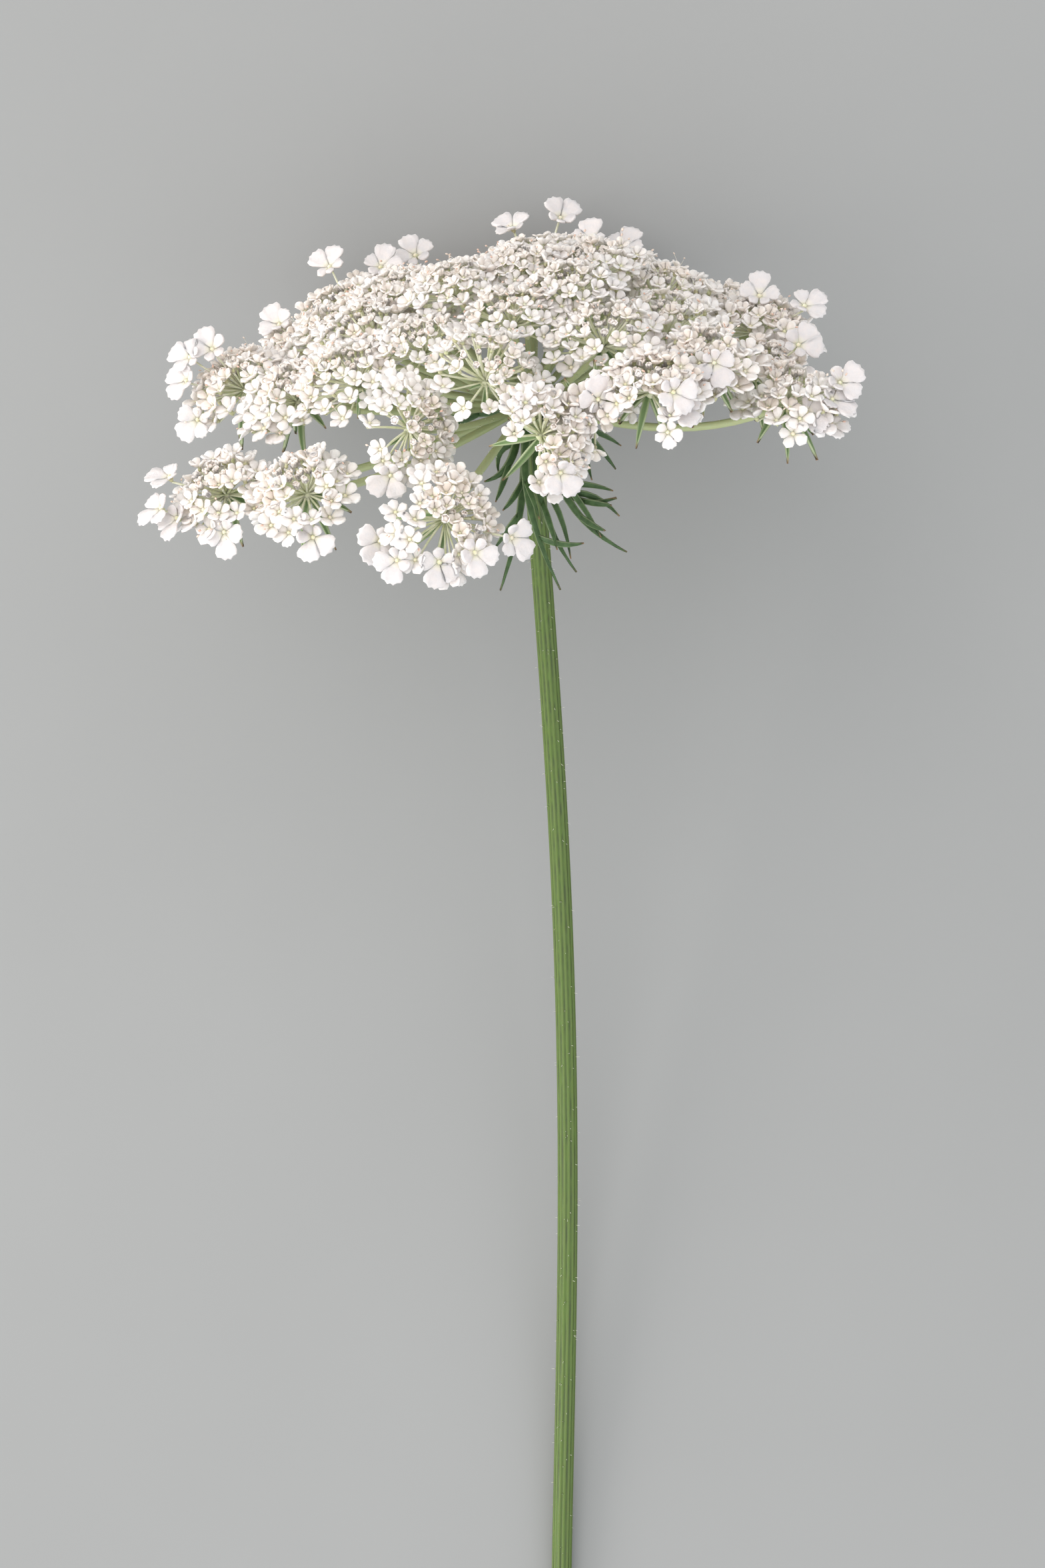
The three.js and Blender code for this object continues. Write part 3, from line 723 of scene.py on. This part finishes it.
def add_node(tree, kind, links, out=0, **settings):
    """Adds a node with its settings, links or sets its inputs, and gives back one of its outputs."""
    node = tree.nodes.new(kind)
    for key, value in settings.items():
        setattr(node, key, value)
    for name, value in links.items():
        if isinstance(value, bpy.types.NodeSocket):
            tree.links.new(value, node.inputs[name])
        else:
            node.inputs[name].default_value = value
    return node.outputs[out] if node.outputs else None


def rgba(values):
    return (*values, 1)


def followed(tree, source):
    """What a coat or a relief goes by: a mark on the mesh by its name, a grain, or a plain number."""
    if isinstance(source, str):
        return add_node(tree, "ShaderNodeAttribute", {}, "Fac", attribute_name=source)
    if not isinstance(source, Grain):
        return source
    place = add_node(tree, "ShaderNodeTexCoord", {}, "Object")
    place = add_node(tree, "ShaderNodeMapping", {"Vector": place, "Scale": source.stretch})
    links = {"Vector": place, "Scale": source.per_mm / MM, "Detail": source.detail}
    return add_node(tree, "ShaderNodeTexNoise", links)


def coated(name, ground, coats, look, relief=None):
    """Makes a material: a ground colour, the coats over it in order, and the values of its skin."""
    material = bpy.data.materials.new(name)
    material.use_nodes = True
    tree = material.node_tree
    tree.nodes.clear()
    base = rgba(ground)
    share, first, second, mixed = 0, 6, 7, 2
    for coat in coats:
        links = {
            "Value": followed(tree, coat.follows),
            "From Min": coat.low,
            "From Max": coat.high,
            "To Max": followed(tree, coat.most),
        }
        thickness = add_node(tree, "ShaderNodeMapRange", links)
        links = {share: thickness, first: base, second: rgba(coat.colour)}
        base = add_node(tree, "ShaderNodeMix", links, mixed, data_type="RGBA")
    links = {"Base Color": base, **look}
    if relief:
        bumps = {"Height": followed(tree, relief.grain), "Distance": relief.depth * MM}
        links["Normal"] = add_node(tree, "ShaderNodeBump", bumps)
    skin = add_node(tree, "ShaderNodeBsdfPrincipled", links)
    add_node(tree, "ShaderNodeOutputMaterial", {"Surface": skin})
    return material


def petal_tissue(colours):
    """Fresh petal: a thin sheet of air-filled cells, which scatters light into a bright matt white."""
    # Cream further in, partly the young florets' own cream and partly painted light that sets the inner
    # florets paler than the showy ones; blushed in bud; greenish and darker towards the base, partly the
    # petal's own green near the nectar disc and partly painted shade where the petal sinks into the floret;
    # and faint patches about 0.9 mm wide
    coats = [
        Coat("tone", 0.15, 0.6, colours.cream),
        Coat("tone", 0.6, 1.0, colours.bud),
        # Painted shade, in part: the heart's greenish grey over the inner third of each petal is its green
        # base and also the shade deep in the floret
        Coat("along", 0.3, 0.0, colours.heart),
        Coat(Grain(1.1), 0.35, 0.75, to_linear("#F2E4DD"), 0.35),
    ]
    look = {
        "Roughness": 0.55,
        "Specular IOR Level": 0.35,
        "Subsurface Weight": 0.85,
        "Subsurface Radius": (1.0, 0.97, 0.94),
        "Subsurface Scale": 0.6 * MM,
    }
    # The real cells are about 0.03 mm wide, and are drawn ten times coarser so that they show
    return coated("fresh_petal_tissue", colours.petal, coats, look, Relief(Grain(3.0), 0.06))


def stalk_tissue(colours):
    """Floret stalk and filament: watery pale green tissue, with a soft shine."""
    # A tone above nothing is a paler stalk or a filament, and one below it is a seed vessel. The greener
    # stretches are about 1.3 mm long
    coats = [
        Coat("tone", 0.0, 1.0, to_linear("#F2EFE8")),
        Coat("tone", 0.0, -1.0, colours.ovary),
        Coat(Grain(0.8), 0.4, 0.7, to_linear("#CFD6AE")),
    ]
    look = {
        "Roughness": 0.45,
        "Subsurface Weight": 0.5,
        "Subsurface Radius": (0.9, 1.0, 0.7),
        "Subsurface Scale": 0.4 * MM,
    }
    return coated("watery_stalk_tissue", colours.stalk, coats, look)


def nectar_disc(colours):
    """Nectar disc: smooth swollen tissue, wet enough to glint, with greener spots about 0.5 mm wide."""
    spots = Coat(Grain(2.0), 0.4, 0.7, to_linear("#D8DAAE"))
    look = {"Roughness": 0.3, "Subsurface Weight": 0.2, "Subsurface Scale": 0.4 * MM}
    return coated("wet_nectar_disc", colours.heart, [spots], look)


def pollen_sac():
    """Anther: dusty pollen in a pink skin, paler in some."""
    dust = Coat("tone", 0.0, 1.0, to_linear("#EFE3D6"))
    return coated("dusty_pollen_sac", to_linear("#D9A48C"), [dust], {"Roughness": 0.8})


def stem_skin(colours):
    """Stem and rays: waxy skin over green tissue, pale along the ribs and dark in the grooves."""
    # The streaks are about 0.6 mm wide and 10 mm long, and the rays are paler towards their tips
    streaks = Grain(1.6, 3.0, (1, 0.06, 1))
    coats = [
        Coat("across", 0.0, 1.0, colours.rib),
        Coat(streaks, 0.35, 0.7, to_linear("#526C25")),
        Coat("tone", 0.0, 1.0, to_linear("#CBD4A4")),
    ]
    look = {"Roughness": 0.42, "Subsurface Weight": 0.12, "Subsurface Scale": 0.6 * MM}
    return coated("waxy_ribbed_skin", colours.groove, coats, look, Relief(streaks, 0.05))


def bract_leaf(colours):
    """Bract: thin matt leaf with a translucent margin and a dry brown point."""
    # Lighter patches about 0.8 mm wide, and a lighter green all over on the small bracts
    coats = [
        Coat(Grain(1.2), 0.35, 0.7, to_linear("#48663A")),
        Coat("tone", 0.5, 1.0, to_linear("#6C8756")),
        Coat("across", 0.55, 1.0, colours.margin, "tone"),
        Coat("along", 0.9, 1.0, to_linear("#9A7A5C")),
    ]
    # The leaf's cells are drawn coarser than they are, so that they show
    return coated("matt_bract_leaf", colours.leaf, coats, {"Roughness": 0.6}, Relief(Grain(4.0), 0.04))


def bristle_glass():
    """Bristle: one clear stiff hair, green at its root and near white at its point."""
    point = Coat("along", 0.0, 1.0, to_linear("#F3F2EA"))
    return coated("clear_stiff_hair", to_linear("#C9D3A8"), [point], {"Roughness": 0.35})


def sweep_paper(colours):
    """Surface: a plain matt paper sweep, with clouds about 50 mm wide that hardly show."""
    darker = [v * 0.97 for v in colours.paper]
    clouds = Coat(Grain(0.02, 4.0), 0.3, 0.7, darker)
    look = {"Roughness": 0.9, "Specular IOR Level": 0.2}
    return coated("matt_paper_sweep", colours.paper, [clouds], look)


# Florets

PETALS = 5
PETAL_STEP = 2 * math.pi / PETALS
# The share of the open florets that still hold stamens
WITH_STAMENS = 0.28


def floret_shapes():
    small = [0.2, 0.52, 0.78, 0.78, 0.42]
    broad = [0.18, 0.4, 0.64, 0.84, 0.92, 0.82, 0.5]
    rising = [0, 0.03, 0.07, 0.1, 0.12, 0.12, 0.1]
    return {
        "flat": petal_shape(small, [0, 0.04, 0.09, 0.12, 0.12], 0.04, 0.0, 0.04, 0.13),
        "inward": petal_shape(small, [0, 0.1, 0.2, 0.3, 0.36], 0.07, 0.08, 0.1, 0.15),
        "broad": petal_shape(broad, rising, 0.06, 0.06, 0.02, 0.07),
        "bud": turned_shape([(0, 0.2), (0.3, 0.52), (0.75, 0.5), (1, 0.22)], 10, 0.24),
        "heart": turned_shape([(0, 0.45), (0.5, 0.5), (1, 0.22)], 6),
        "ovary": turned_shape([(0, 0.2), (0.45, 0.5), (1, 0.3)], 5),
        "stalk": turned_shape([(x, 1) for x in np.linspace(0, 1, 5)], 4),
        "thread": turned_shape([(0, 1), (0.5, 0.8), (1, 0.6)], 3),
        "anther": turned_shape([(0, 0.3), (0.5, 0.55), (1, 0.25)], 4),
        "hub": turned_shape([(0, 0.45), (0.4, 0.9), (0.8, 1.0), (1, 0.7)], 8),
    }


@dataclass
class FloretPlan:
    """All florets as columns. The share is 0 in the middle of an umbellet and 1 on its edge."""

    owner: np.ndarray
    place: np.ndarray
    reach: np.ndarray
    share: np.ndarray
    length: np.ndarray
    opening: np.ndarray


def floret_plan(plans, sizes, random):
    """Florets spread evenly over each umbellet, then eased apart in a few rounds."""
    rounds = 12
    rows = []
    counts = {"rim": sizes.rim_count, "middle": sizes.middle_count, "centre": sizes.centre_count}
    for index, plan in enumerate(plans):
        count = counts[plan.zone]
        start = random.random() * 2 * math.pi
        for k in range(count):
            share = ((k + 0.5) / count) ** 0.6
            turn = start + k * GOLDEN_ANGLE
            tilt = share * WIDEST_STALK[plan.zone]
            outward = math.cos(turn) * share
            stalk = math.sin(tilt) * (math.cos(turn) * plan.away + math.sin(turn) * plan.side)
            stalk += math.cos(tilt) * plan.facing
            far = plan.spread * (0.42 + 0.48 * share) * (1 + 0.1 * outward) * random.uniform(0.9, 1.08)
            reach = sizes.petal * ZONE_SCALE[plan.zone] * (0.7 + 0.35 * share)
            rows.append((index, plan.hub + stalk * far, reach, share, far, 0.0))
    for number, right, up, nearer, opening in SHOWY:
        step = np.array([right, up, nearer]) * MM
        place = plans[number - 1].hub + step
        rows.append((number - 1, place, sizes.outer_petal * 0.6, 1.0, np.linalg.norm(step), opening))
    florets = FloretPlan(*(np.array(column) for column in zip(*rows)))
    for _ in range(rounds):
        ease_apart(florets, plans)
    return without_openings(florets)


def without_openings(florets):
    """The florets, less the ordinary ones that would stand in front of an opening."""
    step = florets.place - JUNCTION
    eye = np.array(VIEW_POINT) * MM
    seen = eye[:2] + (step[:, :2] - eye[:2]) * (eye[2] / (eye[2] - step[:, 2]))[:, None]
    table = np.array(OPENINGS) * MM
    apart = np.linalg.norm(seen[:, None] - table[None, :, :2], axis=2)
    hidden = (apart < table[:, 2] + florets.reach[:, None] * 0.45).any(1) & (step[:, 2] > -OPENING_DEPTH)
    kept = ~hidden | (florets.opening > 0)
    return FloretPlan(*(column[kept] for column in vars(florets).values()))


def ease_apart(florets, plans):
    """Moves florets a little off each other, back to their own umbellet, and up off the surface."""
    closeness, longest_shift = 0.66, 0.5 * MM
    hubs = np.array([plan.hub for plan in plans])
    own = hubs[florets.owner]
    free = (florets.opening == 0)[:, None]
    step = florets.place[:, None] - florets.place[None]
    distance = np.linalg.norm(step, axis=2) + 1e-9
    wanted = (florets.reach[:, None] + florets.reach[None]) * closeness
    push = np.clip(wanted - distance, 0, None) * 0.3
    np.fill_diagonal(push, 0)
    shift = (step / distance[..., None] * push[..., None]).sum(1)
    size = np.linalg.norm(shift, axis=1)[:, None] + 1e-9
    florets.place += shift * np.minimum(1, longest_shift / size) * free

    between = own[:, None] - hubs[None]
    apart = np.linalg.norm(between, axis=2) + 1e-9
    between = between / apart[..., None]
    room = ((florets.place[:, None] - (own[:, None] + hubs[None]) / 2) * between).sum(2)
    push = np.clip(florets.reach[:, None] * 0.5 - room, 0, None) * 0.4
    push[apart < 1e-6] = 0
    florets.place += (between * push[..., None]).sum(1) * free

    stalk = florets.place - own
    far = np.linalg.norm(stalk, axis=1)
    kept = np.clip(far, florets.length * 0.85, florets.length * 1.06)
    florets.place[:] = own + stalk * (kept / far)[:, None]
    florets.place[:, 2] = np.maximum(florets.place[:, 2], florets.reach * 0.6)


@dataclass
class Stance:
    """Where a floret sits and how it is turned: its face, its outer side and across it."""

    place: np.ndarray
    face: np.ndarray
    outer: np.ndarray
    side: np.ndarray

    def direction(self, angle):
        return math.cos(angle) * self.outer + math.sin(angle) * self.side

    def petal_axes(self, direction, lift):
        forward = direction * math.cos(lift) + self.face * math.sin(lift)
        sideways = np.cross(self.face, direction)
        return forward, sideways, np.cross(forward, sideways)

    def upright(self, shape, root, long, wide):
        """A turned shape's points where it stands along the face."""
        return placed(shape, root, self.face, self.outer, self.side, (long, wide, wide))


def stance_of(plan, place, stalk, opening, random):
    """Ordinary florets face out of the head, and showy ones open upwards as their table says."""
    lean = random.normal(size=3) * 0.22
    if opening > 0:
        face = unit((1.2 - opening) * plan.facing + opening * UP + 0.25 * stalk + 0.7 * lean)
        outer = unit(stalk - face * stalk.dot(face))
    else:
        face = unit(0.4 * AXIS + 0.45 * plan.facing + 0.4 * stalk + lean)
        outer = unit(stalk - face * stalk.dot(face) + plan.away * 0.15)
    outer = unit(outer - face * outer.dot(face))
    return Stance(place, face, outer, np.cross(face, outer))


def add_floret(bunch, shapes, plan, place, share, opening, sizes, random):
    """One floret on its stalk, with its longest petals on the side away from the umbellet's middle."""
    showy = opening > 0
    reach = np.linalg.norm(place - plan.hub)
    stalk = (place - plan.hub) / reach
    stance = stance_of(plan, place, stalk, opening, random)
    leaning = max(0.0, stance.outer.dot(plan.away))
    weight = GROWTH[plan.zone] + (RIM_GROWTH * leaning if plan.zone == "rim" else 0)
    enlarged = 1.0 if showy else max(0.0, (share - 0.62) / 0.38) ** 0.7 * weight
    young = random.random() < 1.15 - 1.9 * share
    # Painted light, in part: the showy florets take the darker grey-white and the florets further in the
    # paler cream, to even out the light they catch
    tone = 0.15 if showy else float(np.clip(1.2 - 0.72 * share + random.normal() * 0.12, 0.2, 1))
    small = sizes.petal * ZONE_SCALE[plan.zone] * (0.66 + 0.34 * share) * random.uniform(0.9, 1.1)

    foot = place - stance.face * small * 0.5
    middle = plan.hub + (0.62 * stalk - 0.12 * plan.facing) * reach
    course = quadratic(plan.hub, middle, foot, 6)
    points = bent(shapes["stalk"], course, np.cross(stalk, plan.side), sizes.pedicel)
    bunch.add(shapes["stalk"], points, STALK, 0.35)
    ovary = 0.6 * MM * (0.7 + 0.5 * share)
    bunch.add(shapes["ovary"], stance.upright(shapes["ovary"], foot, small * 0.5, ovary), STALK, -0.8)
    if young:
        add_bud(bunch, shapes, stance, small, tone, random)
    else:
        add_open_petals(bunch, shapes, stance, small, share, enlarged, showy, tone, sizes, random)
        add_heart(bunch, shapes, stance, small, sizes, random)


def add_bud(bunch, shapes, stance, small, tone, random):
    """A young floret: a ribbed bud with five petals that still stand up round it."""
    place, face = stance.place, stance.face
    wide = small * random.uniform(0.6, 0.85)
    root = place - face * wide * 0.5
    bunch.add(shapes["bud"], stance.upright(shapes["bud"], root, wide, wide), PETAL, tone)
    for i in range(PETALS):
        direction = stance.direction(i * PETAL_STEP + random.uniform(-0.2, 0.2))
        axes = stance.petal_axes(direction, random.uniform(0.7, 1.15))
        long = small * random.uniform(0.6, 0.75)
        base = place + direction * 0.22 * small - face * 0.2 * small
        points = placed(shapes["inward"], base, *axes, (long, long * 0.95, long))
        bunch.add(shapes["inward"], points, PETAL, tone)


def add_open_petals(bunch, shapes, stance, small, share, enlarged, showy, tone, sizes, random):
    """Five open petals, longer on the outer side where the floret is an enlarged one."""
    twist = random.uniform(-0.65, 0.65) if showy else random.uniform(0, PETAL_STEP)
    for i in range(PETALS):
        angle = i * PETAL_STEP + twist + random.uniform(-0.08, 0.08)
        growth = enlarged * max(0.0, math.cos(angle) * 0.8 + (0.35 if showy else 0.25))
        long = small + (sizes.outer_petal - small) * min(1.1, growth) * random.uniform(0.85, 1.05)
        lift = random.uniform(0.0, 0.4) * (1 - 0.75 * growth)
        if growth < 0.1:
            lift += 0.4 * (1 - share)
        axes = stance.petal_axes(stance.direction(angle), lift)
        if growth > 0.3:
            shape = shapes["broad"]
            broad = random.uniform(0.95, 1.12)
        else:
            shape = shapes["flat" if random.random() < 0.45 else "inward"]
            broad = random.uniform(0.9, 1.1)
        base = stance.place + axes[0] * 0.2 * small
        bunch.add(shape, placed(shape, base, *axes, (long, long * broad, long)), PETAL, tone)


def add_heart(bunch, shapes, stance, small, sizes, random):
    """The nectar disc in the middle of an open floret, and stamens on some."""
    disc = small * 0.42
    base = stance.place - stance.face * disc * 0.2
    bunch.add(shapes["heart"], stance.upright(shapes["heart"], base, disc * 0.7, disc), HEART)
    if random.random() < WITH_STAMENS:
        add_stamens(bunch, shapes, stance, sizes, random)


def add_stamens(bunch, shapes, stance, sizes, random):
    """One to three threads that spread from the disc, each with a pollen sac at its end."""
    place, face = stance.place, stance.face
    for _ in range(random.integers(1, 4)):
        direction = stance.direction(random.uniform(0, 2 * math.pi))
        reach = sizes.filament * random.uniform(0.55, 1.1)
        root = place + direction * 0.2 * MM
        middle = place + face * reach * 0.55 + direction * reach * 0.2
        tip = place + (face * 0.8 + direction * 0.6) * reach
        course = quadratic(root, middle, tip, 4)
        points = bent(shapes["thread"], course, np.cross(face, direction), 0.05 * MM)
        bunch.add(shapes["thread"], points, STALK, 1.0)
        grown = random.uniform(0.24, 0.36) * MM
        scale = (grown, grown, grown)
        end = placed(shapes["anther"], tip, unit(face + direction), stance.outer, stance.side, scale)
        bunch.add(shapes["anther"], end, POLLEN, random.uniform(0.3, 1))


# Operators


class CARROT_OT_stage(Operator):
    """Makes the surface, the lights and the camera that looks straight down"""

    bl_idname = "carrot_flower.stage"
    bl_label = "Surface, lights and camera"

    def execute(self, context):
        colours = context.scene.carrot_colours
        bpy.ops.object.select_all(action="DESELECT")
        bpy.ops.mesh.primitive_plane_add(size=9, location=(0, 0, 0))
        surface = context.active_object
        surface.name = "surface"
        surface.data.materials.append(sweep_paper(colours))

        for name, (step, width, watts, text) in LIGHTS.items():
            add_light(name, np.array(step), width, watts, text)

        world = bpy.data.worlds.new("soft_room")
        world.use_nodes = True
        room = world.node_tree.nodes["Background"]
        room.inputs["Color"].default_value = rgba(to_linear("#ECEDEE"))
        room.inputs["Strength"].default_value = 1.12
        context.scene.world = world
        context.scene.view_settings.view_transform = "Standard"

        distance = VIEW_POINT[2] * MM
        lens = bpy.data.cameras.new("view_from_above")
        lens.lens = lens.sensor_width * distance / VIEW_HEIGHT
        lens.clip_start = 0.05
        lens.clip_end = 50
        camera = bpy.data.objects.new("view_from_above", lens)
        camera.location = JUNCTION + np.array(VIEW_POINT) * MM
        context.collection.objects.link(camera)
        context.scene.camera = camera
        return {"FINISHED"}


def add_light(name, step, width, watts, text):
    """A round soft light a step away from where the rays meet and facing it."""
    lamp = bpy.data.lights.new(name, "AREA")
    lamp.shape = "DISK"
    lamp.size = width
    lamp.energy = watts
    lamp.color = to_linear(text)
    obj = bpy.data.objects.new(name, lamp)
    obj.location = JUNCTION + step
    obj.rotation_euler = Vector(-step).to_track_quat("-Z", "Y").to_euler()
    obj.visible_camera = False
    bpy.context.collection.objects.link(obj)


class CARROT_OT_green(Operator):
    """Makes the ribbed stem, the rays, the small bracts and the bristles"""

    bl_idname = "carrot_flower.green"
    bl_label = "Stem, rays and small bracts"

    def execute(self, context):
        sizes = context.scene.carrot_green
        colours = context.scene.carrot_colours
        random = np.random.default_rng(SEED)
        plans = umbellet_plans()
        rod = turned_shape([(x, 1) for x in np.linspace(0, 1, 97)], sizes.ribs * 4)
        rod = ribbed(rod, sizes.ribs, STEM_GROOVE)
        ray = turned_shape([(x, 1) for x in np.linspace(0, 1, 13)], 12, RAY_GROOVE)
        top = turned_shape([(0, 1.12), (0.25, 1.3), (0.55, 1.75), (0.8, 1.75), (1, 1.0)], 20)
        blade = blade_shape([0.5, 0.8, 0.95, 0.9, 0.72, 0.45, 0.08], 0.16)
        hair = turned_shape([(0, 1), (0.5, 0.55), (1, 0.1)], 3)

        bunch = Bunch()
        course = stem_course()
        bunch.add(rod, bent(rod, course, ACROSS, STEM_RADIUS * MM), SKIN, 0.0)
        scale = (SWELLING_LENGTH, MM, MM)
        seat = placed(top, JUNCTION - AXIS * SWELLING_DROP, AXIS, ACROSS, TOWARDS, scale)
        bunch.add(top, seat, SKIN, 0.25)
        add_bristles(bunch, hair, course, STEM_RADIUS * MM, sizes.bristles, sizes.bristle, 0.07, random)
        for plan in plans:
            line = ray_course(plan)
            radius = sizes.ray * RAY_SHARE[plan.zone]
            bunch.add(ray, bent(ray, line, plan.side, radius), SKIN, 0.45 + 0.45 * ray.along)
            add_bristles(bunch, hair, line, radius, sizes.ray_bristles, sizes.ray_bristle, 0.3, random)
            if plan.zone in SMALL_BRACT_TURNS:
                add_small_bracts(bunch, blade, plan, sizes.small_bract, random)
        finishes = [stem_skin(colours), bract_leaf(colours), bristle_glass()]
        piece = bunch.piece("stem_rays_and_small_bracts", finishes)
        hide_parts("stem")
        return {"FINISHED"}


def ribbed(rod, ribs, depth):
    """A many-sided rod pressed in between its ribs, which stay rounded."""
    angle = np.arctan2(rod.points[:, 2], rod.points[:, 1])
    ridge = (0.5 + 0.5 * np.cos(angle * ribs)) ** 0.8
    rod.points[:, 1:] *= (1 - depth * (1 - ridge))[:, None]
    rod.across[:] = ridge
    return rod


def add_bristles(bunch, hair, course, radius, count, longest, start, random):
    """Stiff hairs that stand out from a stem or a ray, leaning a little towards its foot."""
    slopes = np.gradient(course, axis=0)
    for _ in range(count):
        at = random.uniform(start, 1) * (len(course) - 1)
        low = min(int(at), len(course) - 2)
        slope = unit(slopes[low])
        centre = course[low] + (course[low + 1] - course[low]) * (at - low)
        angle = random.uniform(0, 2 * math.pi)
        first = unit(np.cross(slope, [0.3, 0.2, 1.0]))
        out = math.cos(angle) * first + math.sin(angle) * np.cross(slope, first)
        lean = unit(out + slope * random.uniform(-0.1, 0.5))
        reach = longest * random.uniform(0.35, 1.0)
        root = centre + out * radius * 0.93
        thick = 0.055 * MM
        across, around = unit(np.cross(lean, slope)), unit(np.cross(lean, first))
        bunch.add(hair, placed(hair, root, lean, across, around, (reach, thick, thick)), HAIR)


def add_small_bracts(bunch, blade, plan, longest, random):
    """The narrow bracts round an umbellet's hub, fewer and shorter where the head hides them."""
    line = ray_course(plan)
    root = line[-1] - unit(line[-1] - line[-2]) * 0.5 * MM
    scale = SMALL_BRACT_SCALE[plan.zone]
    for turn in SMALL_BRACT_TURNS[plan.zone]:
        reach = longest * scale * random.uniform(0.8, 1.0) * (1 if abs(turn) < 1 else 0.75)
        out = math.cos(turn) * plan.away + math.sin(turn) * plan.side
        bend = root + out * reach * 0.4 - plan.facing * reach * 0.22
        tip = root + out * reach * random.uniform(0.62, 0.74)
        tip -= plan.facing * reach * random.uniform(0.6, 0.78)
        course = quadratic(root, bend, tip, 10)
        points = bent(blade, course, np.cross(plan.facing, out), 0.95 * MM * scale**0.5, 1.1 * MM)
        bunch.add(blade, points, LEAF, 1.0)


class CARROT_OT_bracts(Operator):
    """Makes the feathery bracts that hang round the top of the stem"""

    bl_idname = "carrot_flower.bracts"
    bl_label = "Feathery bracts"

    def execute(self, context):
        colours = context.scene.carrot_colours
        leaf = bract_leaf(colours)
        rib_widths = [0.9, 0.8, 0.8, 0.85, 0.9, 0.85, 0.8, 0.75, 0.68, 0.58, 0.45, 0.28, 0.05]
        rib = blade_shape(rib_widths, 0.2)
        lobe = blade_shape([0.7, 0.85, 0.9, 0.82, 0.66, 0.42, 0.05], 0.18)
        tone = 0.45
        for number, row in enumerate(BRACTS, 1):
            bunch = Bunch()
            for blade, breadth, course in bract_courses(row, rib, lobe):
                side = unit(np.cross(course[-1] - course[0], TOWARDS))
                bunch.add(blade, bent(blade, course, side, breadth), 0, tone)
            piece = bunch.piece(f"feathery_bract_{number}", [leaf])
            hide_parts(f"bract_{number}")
        return {"FINISHED"}


def bract_courses(row, rib, lobe):
    """Each blade of a bract with its breadth and its course, the rib first and then its lobes."""
    azimuth, middle, tip, lobes = row
    turn = math.radians(azimuth)
    outwards = math.cos(turn) * ACROSS + math.sin(turn) * TOWARDS
    root = JUNCTION + outwards * BRACT_ROOT - AXIS * BRACT_DROP
    spine = quadratic(root, from_junction(middle), from_junction(tip), STEPS_ALONG_RIB)
    courses = [(rib, RIB_BREADTH, spine)]
    for start, middle, tip in lobes:
        fork = spine[round(start * STEPS_ALONG_RIB)]
        course = quadratic(fork, from_junction(middle), from_junction(tip), STEPS_ALONG_LOBE)
        courses.append((lobe, LOBE_BREADTH, course))
    return courses


def from_junction(step):
    """A place given in mm to the right, up the view and nearer than where the rays meet."""
    return JUNCTION + np.array(step) * MM


class CARROT_OT_umbellets(Operator):
    """Makes the forty umbellets, each with its florets on their stalks"""

    bl_idname = "carrot_flower.umbellets"
    bl_label = "Umbellets and florets"

    def execute(self, context):
        sizes = context.scene.carrot_florets
        colours = context.scene.carrot_colours
        finishes = [petal_tissue(colours), stalk_tissue(colours), nectar_disc(colours), pollen_sac()]
        shapes = floret_shapes()
        random = np.random.default_rng(SEED + 2)
        plans = umbellet_plans()
        florets = floret_plan(plans, sizes, random)
        for index, plan in enumerate(plans):
            bunch = Bunch()
            foot = plan.hub - plan.facing * HUB_RADIUS
            scale = (HUB_RADIUS * 1.4, HUB_RADIUS, HUB_RADIUS)
            seat = placed(shapes["hub"], foot, plan.facing, plan.away, plan.side, scale)
            bunch.add(shapes["hub"], seat, STALK, 0.0)
            for k in np.flatnonzero(florets.owner == index):
                share, opening = florets.share[k], florets.opening[k]
                add_floret(bunch, shapes, plan, florets.place[k], share, opening, sizes, random)
            piece = bunch.piece(f"florets_of_{plan.name}", finishes)
            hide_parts(plan.name)
        return {"FINISHED"}


class CARROT_PT_panel(Panel):
    """Lists the steps that make the flower"""

    bl_idname = "CARROT_PT_panel"
    bl_label = "Carrot flower"
    bl_space_type = "VIEW_3D"
    bl_region_type = "UI"
    bl_category = "Carrot Flower"

    def draw(self, context):
        for group in ("carrot_florets", "carrot_green", "carrot_colours"):
            settings = getattr(context.scene, group)
            for name in settings.__annotations__:
                self.layout.prop(settings, name)
        for step in STEPS:
            self.layout.operator(step.bl_idname)


STEPS = [CARROT_OT_stage, CARROT_OT_green, CARROT_OT_bracts, CARROT_OT_umbellets]
CLASSES = [FloretSizes, GreenSizes, FlowerColours, *STEPS, CARROT_PT_panel]


def register():
    for item in CLASSES:
        bpy.utils.register_class(item)
    bpy.types.Scene.carrot_florets = PointerProperty(type=FloretSizes)
    bpy.types.Scene.carrot_green = PointerProperty(type=GreenSizes)
    bpy.types.Scene.carrot_colours = PointerProperty(type=FlowerColours)


def unregister():
    del bpy.types.Scene.carrot_colours
    del bpy.types.Scene.carrot_green
    del bpy.types.Scene.carrot_florets
    for item in reversed(CLASSES):
        bpy.utils.unregister_class(item)


def main():
    register()
    bpy.ops.carrot_flower.stage()
    bpy.ops.carrot_flower.green()
    bpy.ops.carrot_flower.bracts()
    bpy.ops.carrot_flower.umbellets()


if __name__ == "__main__":
    main()
